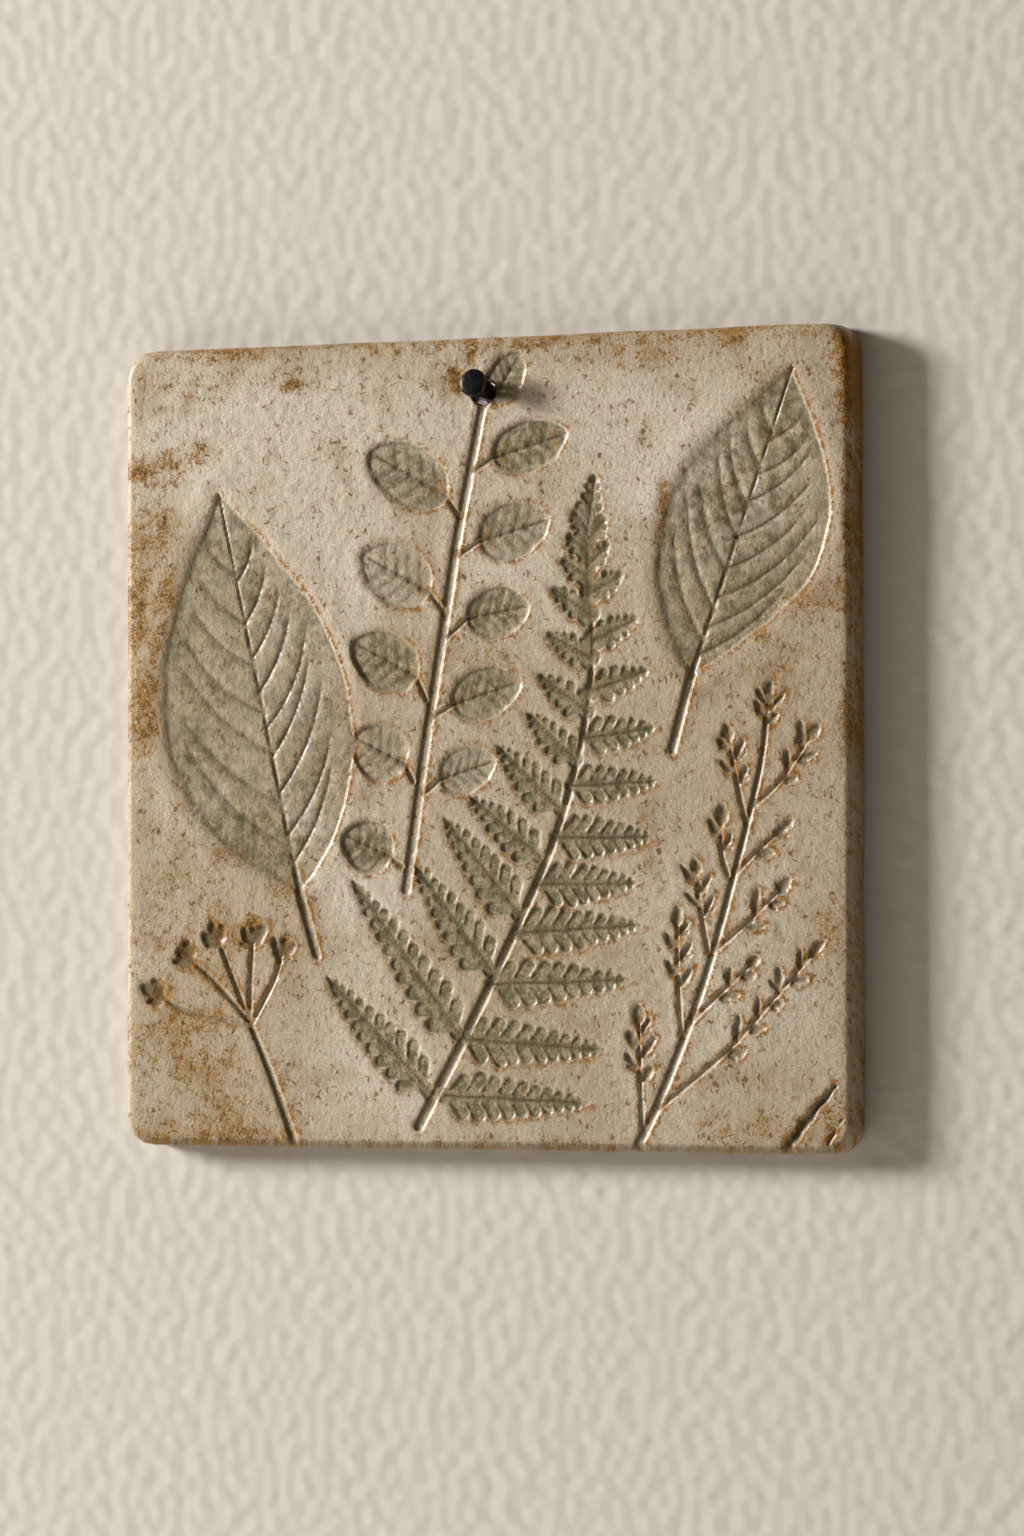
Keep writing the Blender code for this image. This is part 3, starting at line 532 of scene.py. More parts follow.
def press_sprig(relief):
    """The sprig of small round leaves that hangs from the hole."""
    press_stem(relief, smooth_run(SPRIG_STEM, 8), (0.95, -0.1), (0.31, 0.0), 0.34, 1.0)
    for number, (base, tip, half_width, foot, tint) in enumerate(SPRIG_LEAVES):
        sides = (half_width, 0.45)
        outline = leaf_outline(base, tip, sides, sides, SMALL_LEAF_POWER, 18)
        index = relief.near(outline, 3.0)
        points = relief.points[index]
        distance = outline_distance(points, outline) + sway(points, 3.0, 40 + number, 0.5)
        away = points - (np.array(base) + tip) / 2
        lit = (away @ LEAF_LIT_SIDE) / (np.hypot(away[:, 0], away[:, 1]) + 1.0)
        patched = tint * (0.85 + 0.15 * value_noise(points, 2.6, 60 + number))
        relief.sink(index, distance, 0.26 + 0.16 * tint, 0.40, 0.26, patched, 1.0, lit)
        press_leaf_veins(relief, index, base, tip, half_width, smoothstep(0.0, -0.6, distance))
        stalk = np.array([foot, base, np.array(base) + 0.1 * (np.array(tip) - base)])
        press_twig(relief, stalk, (0.52, 0.0), 0.34, tint * 0.8, 0.7, margin=2.0)


def press_leaf_veins(relief, index, base, tip, half_width, inside):
    """A midrib and four pairs of side veins in a small leaf."""
    points = relief.points[index]
    base, _, along, across = leaf_axes(base, tip)
    gap, place = run_distance(points, np.array([base, base + along * 0.9]))
    relief.score(index, gap, 0.42 - 0.10 * place, 0.17 * (1 - 0.5 * place), 1.0)
    nearest = gap
    for number in range(4):
        for side in (1, -1):
            start = 0.14 + 0.17 * number
            vein = [base + along * start, base + along * (start + 0.16) + across * side * half_width * 0.75]
            gap, place = run_distance(points, np.array(vein))
            nearest = np.minimum(nearest, gap)
            band = bell(gap, 0.45, 0.45) * smoothstep(1.0, 0.7, place)
            relief.leafy[index] += 0.22 * band * inside
            ragged = 0.45 + 0.50 * value_noise(points, 0.9, 90 + number)
            relief.score(index, gap, 0.38, 0.09 * inside * (1 - 0.6 * place), ragged * inside)
    relief.depth[index] -= 0.06 * (1.0 - bell(nearest, 0.0, 0.9)) * inside


def press_pinna(relief, foot, tip, number):
    """A fern pinna: leaning oval lobes on both sides of a rib, shrinking to its tip."""
    foot, tip = np.array(foot), np.array(tip)
    along = tip - foot
    length = np.hypot(*along)
    along = along / length
    across = np.array((along[1], -along[0]))
    widest = min(5.2, 2.0 + length * 0.145)
    index = relief.near([foot, tip], widest + 2.5)
    points = relief.points[index]
    distance = np.full(len(points), FAR_OFF)
    vein = np.full(len(points), FAR_OFF)
    lobes = max(3, round(length / (LOBE_PITCH + length * LOBE_GROWTH)))
    rng = np.random.default_rng(100 + number)
    edges = 0.02 + 0.93 * (1 - (1 - np.arange(lobes + 1) / lobes) ** 1.25)
    for start, end in zip(edges, edges[1:]):
        middle = (start + end) / 2
        reach = widest * min(1.0, 0.80 + middle) * (1 - middle) ** 0.62
        for side in (1, -1):
            lean = LOBE_ANGLE + rng.uniform(-0.06, 0.06)
            aim = along * math.cos(lean) + across * side * math.sin(lean)
            size = reach / math.sin(lean) * rng.uniform(0.92, 1.04)
            root = foot + along * length * start
            root = root + along * length * (end - start) * 0.30
            half_width = (end - start) * length * 0.465 * math.sin(lean)
            knee = root + aim * max(0.1, size - half_width * 1.1) + along * half_width * 0.35
            bent = np.array([root, (root + knee) / 2 + across * side * 0.05, knee])
            gap, place = run_distance(points, bent)
            distance = np.minimum(distance, gap - half_width * (0.92 + 0.12 * place))
            vein = np.minimum(vein, gap + 2.0 * smoothstep(0.5, 0.9, place))
    end_size = max(0.8, length * 0.055)
    tip_oval = oval_distance(points, tip - along * end_size, along, end_size * 1.2, end_size * 0.45, 0.5)
    distance = np.minimum(distance, tip_oval)
    gap, place = run_distance(points, np.array([foot, tip - along * end_size]))
    filled = 0.27 + 0.50 * smoothstep(16.0, 7.0, length)
    distance = np.minimum(distance, gap - max(0.80, widest * filled) * (1.0 - 0.60 * place))
    distance += sway(points, 1.0, 150 + number, 0.16)
    outer = smoothstep(0.35, 0.9, gap / (widest * (1.05 - place) ** 0.62 + 0.4))
    low_side = np.clip((points - foot) @ across, -1.0, 1.0) * (across @ LOW_SIDE)
    rusty = (0.20 + 0.90 * outer) * smoothstep(-0.15, 0.65, low_side)
    relief.sink(index, distance, 0.26, 0.32, 0.13, 0.90, rusty)
    relief.score(index, vein, 0.26, 0.04, 0.18)
    relief.score(index, gap, 0.38, 0.13, 1.0)


def press_fern(relief):
    """The fern frond: its pinnae, then its stem over their feet."""
    for number, (foot, tip) in enumerate(FERN_PINNAE):
        press_pinna(relief, foot, tip, number)
    press_stem(relief, smooth_run(FERN_STEM, 8), (1.15, 0.70), (0.44, 0.10), 0.42, 0.3)


def turned(direction, angle):
    cos, sin = math.cos(angle), math.sin(angle)
    return np.array((direction[0] * cos - direction[1] * sin, direction[0] * sin + direction[1] * cos))


def press_bud(relief, foot, aim, size, number, plump, browned=0.15):
    """An almond bud with a small bract beside it."""
    rng = np.random.default_rng(500 + number)
    size = size * rng.uniform(0.68, 1.08)
    centre = foot + aim * size * 0.5
    index = relief.near([foot, foot + aim * size], 2.5)
    points = relief.points[index]
    half_width = BUD_HALF_WIDTH * plump * rng.uniform(0.65, 1.20)
    distance = oval_distance(points, centre, aim, size * 0.5, half_width, 0.15)
    distance += sway(points, 1.0, 520 + number, 0.5)
    lit = np.clip((points - centre) @ LIT_SIDE / half_width, -1.0, 1.0)
    side = turned(aim, rng.choice((-1, 1)) * rng.uniform(0.5, 0.8))
    bract = oval_distance(points, foot + side * size * 0.30, side, size * 0.30, 0.42, 0.2)
    relief.sink(index, bract, 0.28, 0.22, 0.18, 0.45, 0.5)
    relief.sink(index, distance, 0.34, 0.46, 0.26, 0.50, 1.0, lit)
    # Painted shade: the side of the bud away from the light is darkened.
    shaded_side = smoothstep(0.15, -0.35, distance) * smoothstep(0.5, -0.5, lit)
    raise_to(relief.line, index, browned * smoothstep(0.35, -0.45, distance) + 0.22 * shaded_side)
    gap, _ = run_distance(points, np.array([foot, centre + aim * size * 0.25]))
    relief.score(index, gap, 0.30, 0.08, 0.5)


def point_along(run, share):
    """The place and direction at a share of a run's length."""
    steps = np.diff(run, axis=0)
    lengths = np.hypot(steps[:, 0], steps[:, 1])
    left = share * lengths.sum()
    index = 0
    while index < len(lengths) - 1 and left > lengths[index]:
        left -= lengths[index]
        index += 1
    direction = steps[index] / lengths[index]
    return run[index] + direction * min(left, lengths[index]), direction


def press_seed_sprig(relief):
    """The seed sprig: its stem and twigs, with buds to both sides and at the end of each."""
    press_stem(relief, smooth_run(SEED_STEM, 8), (1.0, 0.5), (0.36, 0.09), 0.26, 1.0)
    number = 0
    for points, buds in SEED_TWIGS:
        run = smooth_run(points, 6)
        press_twig(relief, run, (0.56, 0.20), 0.28, 0.20, 0.4)
        for bud in range(buds):
            last = bud == buds - 1
            share = 1.0 if last else 0.40 + 0.58 * bud / max(1, buds - 1)
            place, direction = point_along(run, share)
            aim = direction if last else turned(direction, BUD_SPREAD if bud % 2 else -BUD_SPREAD)
            foot = place + aim * (-BUD_STALK if last else BUD_STALK)
            press_bud(relief, foot, aim, BUD_LENGTH, number, 1.15 if last else 0.80)
            number += 1


def press_umbel(relief):
    """The umbel: its stem and rays, with three buds at the end of each ray."""
    press_stem(relief, smooth_run(UMBEL_STEM, 8), (0.92, 0.25), (0.38, 0.0), 0.32, 0.9)
    for number, points in enumerate(UMBEL_RAYS):
        run = smooth_run(points, 6)
        press_twig(relief, run, (0.60, 0.1), 0.36, 0.28, 0.5)
        direction = run[-1] - run[-2]
        direction = direction / np.hypot(*direction)
        for bud in range(3):
            aim = turned(direction, CLUSTER_SPREAD * (bud - 1))
            foot = run[-1] - direction * (0.9 + 0.3 * bud)
            press_bud(relief, foot, aim, BUD_LENGTH * 1.2, 200 + number * 3 + bud, 1.35, 0.45)


def press_gashes(relief):
    """Ragged dark gashes across the lower right corner."""
    for walk, half_width in GASHES:
        run = smooth_run(walk, 4)
        index = relief.near(run, 3.0)
        points = relief.points[index]
        gap, place = run_distance(points, run)
        gap = gap + sway(points, 1.6, 77, 0.8)
        reach = half_width * (1.0 - 0.5 * place)
        relief.groove(index, np.maximum(gap, 0), reach, 0.5 * half_width, 0.0, 1.0, 1.0)
        raise_to(relief.line, index, 0.95 * smoothstep(1.05, 0.45, gap / reach))


def patch_strength(points, patches):
    """The strongest of some soft oval patches at each point."""
    strength = np.zeros(len(points))
    for u, v, half_u, half_v, amount in patches:
        reach = np.hypot((points[:, 0] - u) / half_u, (points[:, 1] - v) / half_v)
        strength = np.maximum(strength, amount * smoothstep(1.5, 0.15, reach))
    return strength


def gather_relief(points, depth_scale):
    """Heights in millimetres above the flat face, and the marks that the glaze follows."""
    relief = Relief(points, depth_scale)
    for number, leaf in enumerate(BIG_LEAVES):
        press_big_leaf(relief, leaf, 10 + number * 7)
    for press in (press_sprig, press_fern, press_seed_sprig, press_umbel, press_gashes):
        press(relief)
    height = sway(points, 31.0, 3, 0.16) + sway(points, 9.0, 4, 0.05) - 0.08 - relief.total()
    dark = patch_strength(points, DARK_PLACES) * smoothstep(0.05, 0.3, relief.leafy)
    marks = {
        "leafy": relief.leafy + dark,
        "line": relief.line,
        "rim": relief.rim,
        "stain": patch_strength(points, STAINS),
        "pale": patch_strength(points, PALE_AND_SHEEN_PLACES),
    }
    return height, marks


class Lattice:
    """A square lattice of cells on the face, split where the relief needs it."""

    BASE = 73
    FINEST = 8

    def __init__(self, half_side, corner_radius, hole_radius):
        self.half_side = half_side
        self.corner_radius = corner_radius
        self.hole_radius = hole_radius
        self.steps = self.BASE * self.FINEST
        self.cell = 2 * half_side / self.steps
        self.hole_at = np.round((HOLE_CENTRE + half_side) / self.cell).astype(int)
        self.hole_half = round(HOLE_HALF_SIDE / self.cell)
        self.hole_reach = self.hole_half * 2

    def plan(self):
        """Each lattice point's place on the face: squared off at the corners, round at the hole."""
        axis = np.arange(self.steps + 1) * self.cell - self.half_side
        u, v = np.meshgrid(axis, axis, indexing="ij")
        points = np.stack([u.ravel(), v.ravel()], axis=1)
        straight = self.half_side - self.corner_radius
        beyond = np.maximum(np.abs(points) - straight, 0.0) / self.corner_radius
        corner = np.all(beyond > 0, axis=1)
        reach = beyond[corner].max(1)
        angle = np.where(
            beyond[corner, 0] >= beyond[corner, 1],
            np.pi / 4 * beyond[corner, 1] / beyond[corner].max(1),
            np.pi / 2 - np.pi / 4 * beyond[corner, 0] / beyond[corner].max(1),
        )
        around = np.stack([np.cos(angle), np.sin(angle)], axis=1) * (reach * self.corner_radius)[:, None]
        points[corner] = np.sign(points[corner]) * (straight + around)
        return self.round_hole(points)

    def round_hole(self, points):
        middle = self.hole_at * self.cell - self.half_side
        offset = points - middle
        size = np.abs(offset).max(1)
        inner, outer = self.hole_half * self.cell, self.hole_reach * self.cell
        near = (size < outer) & (size > 0)
        d = offset[near]
        wide = np.abs(d[:, 0]) >= np.abs(d[:, 1])
        share = np.where(wide, d[:, 1] / np.where(wide, d[:, 0], 1.0), d[:, 0] / np.where(wide, 1.0, d[:, 1]))
        angle = np.where(wide, np.pi / 4 * share, np.pi / 2 - np.pi / 4 * share)
        turn = np.where(np.where(wide, d[:, 0], d[:, 1]) < 0, -1.0, 1.0)
        radius = size[near] * self.hole_radius / inner * turn
        circle = np.stack([np.cos(angle), np.sin(angle)], axis=1) * radius[:, None]
        blend = smoothstep(inner, outer, size[near])[:, None]
        points[near] = circle * (1 - blend) + d * blend + middle + (HOLE_CENTRE - middle) * (1 - blend)
        return points

    def square(self, values):
        return values.reshape(self.steps + 1, self.steps + 1)

    def bend(self, values, size):
        """How far values stray from a straight blend of each cell's corners."""
        grid = self.square(values)
        low, right = grid[:-1:size, :-1:size], grid[size::size, :-1:size]
        up, far = grid[:-1:size, size::size], grid[size::size, size::size]
        worst = np.zeros(low.shape)
        for i in range(size + 1):
            for j in range(size + 1):
                s, t = i / size, j / size
                blend = (low * (1 - s) + right * s) * (1 - t) + (up * (1 - s) + far * s) * t
                inner = grid[i:self.steps + 1 - size + i:size, j:self.steps + 1 - size + j:size]
                worst = np.maximum(worst, np.abs(inner - blend))
        return worst

    def split_cells(self, bends, tolerance):
        """Which cells of each size are split, with neighbours at most one size apart."""
        splits = {}
        for size in CELL_SIZES:
            splits[size] = bends[size] > tolerance
            low = (self.hole_at - self.hole_reach) // size
            high = -(-(self.hole_at + self.hole_reach) // size)
            splits[size][low[0]:high[0], low[1]:high[1]] = True
        for small, large in ((2, 4), (4, 8)):
            spread = splits[small].copy()
            spread[1:] |= splits[small][:-1]
            spread[:-1] |= splits[small][1:]
            spread[:, 1:] |= splits[small][:, :-1]
            spread[:, :-1] |= splits[small][:, 1:]
            count = spread.shape[0] // 2
            splits[large] |= spread.reshape(count, 2, count, 2).any(axis=(1, 3))
        splits[4] &= np.kron(splits[8], np.ones((2, 2), bool))
        splits[2] &= np.kron(splits[4], np.ones((2, 2), bool))
        return splits

    def cells_of(self, splits):
        """Low corners and sizes of the cells that are left whole."""
        whole = []
        open_cells = np.ones((self.BASE, self.BASE), bool)
        for size in CELL_SIZES:
            keep = np.argwhere(open_cells & ~splits[size]) * size
            whole.append((keep, size))
            open_cells = np.kron(open_cells & splits[size], np.ones((2, 2), bool))
        whole.append((np.argwhere(open_cells), 1))
        return whole

    def used_points(self, cells):
        used = np.zeros((self.steps + 1, self.steps + 1), bool)
        for corners, size in cells:
            for i, j in ((0, 0), (size, 0), (0, size), (size, size)):
                used[corners[:, 0] + i, corners[:, 1] + j] = True
        low, high = self.hole_at - self.hole_half, self.hole_at + self.hole_half
        used[low[0] + 1:high[0], low[1] + 1:high[1]] = False
        return used

    def faces(self, cells, used, numbers):
        """Each whole cell as a face, with the used points on its sides."""
        low, high = self.hole_at - self.hole_half, self.hole_at + self.hole_half
        result = []
        for corners, size in cells:
            for a, b in corners.tolist():
                if low[0] <= a < high[0] and low[1] <= b < high[1]:
                    continue
                walk = self.border((a, b), (a + size, b + size), used)
                result.append([numbers[p] for p in walk])
        return result

    def border(self, low, high, used):
        """Used points round a square of the lattice, anticlockwise as the face is seen."""
        (a, b), (c, d) = low, high
        walk = [(i, b) for i in range(a, c)] + [(c, j) for j in range(b, d)]
        walk += [(i, d) for i in range(c, a, -1)] + [(a, j) for j in range(d, b, -1)]
        return [p for p in walk if used[p]]


def best_tolerance(lattice, bends, triangle_budget):
    """The finest tolerance that keeps the face within its triangles."""
    low, high = 0.0, 0.5
    for _ in range(BISECTIONS):
        middle = (low + high) / 2
        used = lattice.used_points(lattice.cells_of(lattice.split_cells(bends, middle)))
        if 2 * used.sum() > triangle_budget:
            low = middle
        else:
            high = middle
    return high


def smooth_mesh(name, places, faces, marks):
    """A smooth-shaded mesh with marks on its vertices."""
    mesh = bpy.data.meshes.new(name)
    mesh.from_pydata(places.tolist(), [], faces)
    for mark, values in marks.items():
        layer = mesh.attributes.new(mark, "FLOAT", "POINT")
        layer.data.foreach_set("value", np.asarray(values, np.float32))
    mesh.polygons.foreach_set("use_smooth", [True] * len(mesh.polygons))
    mesh.update()
    return mesh


class Shell:
    """Vertices and faces of the tile as they are added, with the marks of each vertex."""

    MARKS = ("leafy", "line", "rim", "stain", "pale", "edge", "bare")

    def __init__(self):
        self.plans = []
        self.heights = []
        self.marks = {name: [] for name in self.MARKS}
        self.faces = []
        self.count = 0

    def add(self, plan, height, **marks):
        """Adds vertices by plan and height; returns their numbers."""
        self.plans.append(np.asarray(plan, float))
        self.heights.append(np.broadcast_to(height, len(plan)).astype(float))
        for name in self.MARKS:
            self.marks[name].append(np.broadcast_to(marks.get(name, 0.0), len(plan)).astype(float))
        self.count += len(plan)
        return np.arange(self.count - len(plan), self.count)

    def add_sheet(self, lattice, cells, used, plan, height, flipped=False, **marks):
        """Adds a lattice's used points and its faces; returns the numbers of its points."""
        numbers = np.full(used.shape, -1)
        numbers[used] = self.add(plan, height, **marks)
        faces = lattice.faces(cells, used, numbers)
        self.faces += [face[::-1] for face in faces] if flipped else faces
        return numbers

    def bridge(self, first, second, outward=True):
        """Joins two rings of vertices by a band of faces."""
        after = np.roll(first, -1), np.roll(second, -1)
        order = (first, second, after[1], after[0]) if outward else (first, after[0], after[1], second)
        self.faces += np.stack(order, axis=1).tolist()

    def grow(self, ring, plan, height, outward=True, **marks):
        """Adds a ring of vertices, joins it to the one before and returns it."""
        fresh = self.add(plan, height, **marks)
        self.bridge(ring, fresh, outward)
        return fresh

    def mesh(self, name):
        plan, height = np.vstack(self.plans), np.concatenate(self.heights)
        places = np.empty((len(plan), 3))
        places[:, 0] = TILE_CENTRE.x + plan[:, 0] * TILE_WIDTH / LAYOUT_SIDE
        places[:, 1] = TILE_HIGH.y - height * MM
        places[:, 2] = TILE_CENTRE.z + plan[:, 1] * TILE_HEIGHT / LAYOUT_SIDE
        marks = {mark: np.concatenate(values) for mark, values in self.marks.items()}
        return smooth_mesh(name, places, self.faces, marks)


def along_walk(values, walk):
    """A lattice's values at the points of a walk on it."""
    return np.array([values[p] for p in walk])


def unit_rows(vectors):
    return vectors / np.hypot(vectors[:, 0], vectors[:, 1])[:, None]


def add_edge(shell, look, ring, plan, height, marks):
    """Rounds the edge from the rim of the face towards the back; returns its last ring."""
    front_radius, back_radius = look.front_round / MM, look.back_round / MM
    corner = look.corner_round / MM
    straight = LAYOUT_SIDE / 2 - corner
    centre = np.clip(plan, -straight, straight)
    away = unit_rows(plan - centre)
    wobble = value_noise(plan, 14.0, 21) * 0.22
    stain = marks["stain"]
    for step in range(1, FRONT_RINGS + 1):
        angle = np.pi / 2 * step / FRONT_RINGS
        share = step / FRONT_RINGS
        reach = corner - front_radius + front_radius * np.sin(angle) - wobble * share
        level = THICKNESS - front_radius * (1 - np.cos(angle)) + height * np.cos(angle)
        low = smoothstep(-0.6, -0.95, away[:, 1]) * math.sin(np.pi * share ** 0.7)
        line = np.maximum(marks["line"] * (1 - share), 0.62 * low)
        fading = {"line": line, "rim": marks["rim"] * (1 - share), "edge": np.sin(angle) ** 2}
        ring = shell.grow(ring, centre + away * reach[:, None], level, stain=stain, **fading)
    for step in range(BACK_RINGS):
        angle = np.pi / 2 * step / BACK_RINGS
        reach = corner - wobble - back_radius * (1 - np.cos(angle))
        level = back_radius * (1 - np.sin(angle))
        bare = 0.35 + 0.65 * step / BACK_RINGS
        ring = shell.grow(ring, centre + away * reach[:, None], level, stain=stain, edge=1.0, bare=bare)
    return ring


def add_hole(shell, ring, plan, height):
    """Rounds the hole's lip and lines the hole; returns the last ring, close to the back."""
    away = unit_rows(plan - HOLE_CENTRE)
    for step in range(1, LIP_RINGS + 1):
        angle = np.pi / 2 * step / LIP_RINGS
        place = HOLE_CENTRE + away * (HOLE_RADIUS + HOLE_LIP * (1 - np.sin(angle)))
        level = THICKNESS - HOLE_LIP * (1 - np.cos(angle)) + height * np.cos(angle)
        ring = shell.grow(ring, place, level, False, line=0.5 + step / 8, rim=0.8, stain=0.6)
    return shell.grow(ring, HOLE_CENTRE + away * HOLE_RADIUS, HOLE_BACK_LIP, False, bare=0.8)


def tile_mesh(name, look):
    """The tile as one closed shell: its face, rounded edge, flat back and lined hole."""
    front_radius, corner = look.front_round / MM, look.corner_round / MM
    half_side, face_corner = LAYOUT_SIDE / 2 - front_radius, corner - front_radius
    front = Lattice(half_side, face_corner, HOLE_RADIUS + HOLE_LIP)
    plan = front.plan()
    height, marks = gather_relief(plan, look.relief_strength)
    bends = {}
    for size in CELL_SIZES:
        bends[size] = front.bend(height, size)
        for mark, weight in MARK_WEIGHTS.items():
            bends[size] = np.maximum(bends[size], front.bend(marks[mark], size) * weight)
    tolerance = best_tolerance(front, bends, look.triangle_budget)
    cells = front.cells_of(front.split_cells(bends, tolerance))
    used = front.used_points(cells)

    shell = Shell()
    picked = used.ravel()
    shown = {mark: values[picked] for mark, values in marks.items()}
    numbers = shell.add_sheet(front, cells, used, plan[picked], THICKNESS + height[picked], **shown)
    spots = np.arange(used.size).reshape(used.shape)
    rim_walk = front.border((0, 0), (front.steps, front.steps), used)
    spot = along_walk(spots, rim_walk)
    at_rim = {mark: values[spot] for mark, values in marks.items()}
    edge = add_edge(shell, look, along_walk(numbers, rim_walk), plan[spot], height[spot], at_rim)

    back = Lattice(half_side, face_corner, HOLE_RADIUS + HOLE_BACK_LIP)
    unbent = {size: np.zeros((back.steps // size,) * 2) for size in CELL_SIZES}
    back_cells = back.cells_of(back.split_cells(unbent, 1.0))
    back_used = back.used_points(back_cells)
    for p in rim_walk:
        back_used[p] = True
    flat = back.plan()[back_used.ravel()]
    straight = LAYOUT_SIDE / 2 - corner
    middle = np.clip(flat, -straight, straight)
    stretch = (corner - look.back_round / MM) / face_corner
    flat = middle + (flat - middle) * stretch
    back_numbers = shell.add_sheet(back, back_cells, back_used, flat, 0.0, flipped=True, bare=1.0)
    shell.bridge(edge, along_walk(back_numbers, rim_walk))

    low, high = tuple(front.hole_at - front.hole_half), tuple(front.hole_at + front.hole_half)
    hole_walk = front.border(low, high, used)
    spot = along_walk(spots, hole_walk)
    lining = add_hole(shell, along_walk(numbers, hole_walk), plan[spot], height[spot])
    shell.bridge(lining, along_walk(back_numbers, hole_walk), outward=False)
    return shell.mesh(name)


def nail_mesh(name, look):
    """A turned nail along its own sloping axis, with a hammered head."""
    top = THICKNESS / math.cos(NAIL_SLOPE) + HEAD_STAND
    around = look.nail_sides
    angles = np.arange(around) * 2 * np.pi / around
    outward = np.array((0.0, -math.cos(NAIL_SLOPE), math.sin(NAIL_SLOPE)))
    side = np.array((1.0, 0.0, 0.0))
    upward = np.array((0.0, math.sin(NAIL_SLOPE), math.cos(NAIL_SLOPE)))
    dents = value_noise(np.stack([np.cos(angles) * 3.0, np.sin(angles) * 3.0], axis=1), 1.1, 8)
    places, worn, faces = [outward * top], [0.0], []
    for radius, along, wear in NAIL_PROFILE:
        dent = 1.0 - 0.030 * dents * (1.0 if radius > 2.0 else 0.3)
        drop = -0.05 * dents * smoothstep(2.6, 1.0, radius) * (along > -0.3)
        for angle, shrink, sunk in zip(angles, dent, drop):
            reach = radius * shrink
            place = outward * (top + along + sunk) + side * reach * math.cos(angle)
            places.append(place + upward * reach * math.sin(angle))
            worn.append(wear)
    places.append(outward * -NAIL_IN_WALL)
    worn.append(0.0)
    last = 1 + (len(NAIL_PROFILE) - 1) * around
    for i in range(around):
        j = (i + 1) % around
        faces.append((0, 1 + i, 1 + j))
        for a in range(1, last, around):
            faces.append((a + i, a + around + i, a + around + j, a + j))
        faces.append((last + i, len(places) - 1, last + j))
    return smooth_mesh(name, np.array(places) * MM, faces, {"worn": worn})


class Wire:
    """A socket's value in a material, with the usual arithmetic."""

    def __init__(self, recipe, socket):
        self.recipe = recipe
        self.socket = socket

    def other(self, name):
        """Another output of the same node."""
        return Wire(self.recipe, self.socket.node.outputs[name])

    def join(self, other, operation, swapped=False):
        first, second = (other, self) if swapped else (self, other)
        kinds = {wire.socket.type for wire in (first, second) if isinstance(wire, Wire)}
        if "RGBA" in kinds:
            settings = {"data_type": "RGBA", "blend_type": operation}
            return self.recipe.node("ShaderNodeMix", settings, {0: 1.0, 6: first, 7: second}, output=2)
        if "VECTOR" in kinds:
            return self.recipe.node("ShaderNodeVectorMath", {"operation": operation}, {0: first, 1: second})
        return self.recipe.node("ShaderNodeMath", {"operation": operation}, {0: first, 1: second})

    def __add__(self, other):
        return self.join(other, "ADD")

    __radd__ = __add__

    def __sub__(self, other):
        return self.join(other, "SUBTRACT")

    def __rsub__(self, other):
        return self.join(other, "SUBTRACT", swapped=True)

    def __mul__(self, other):
        return self.join(other, "MULTIPLY")

    __rmul__ = __mul__


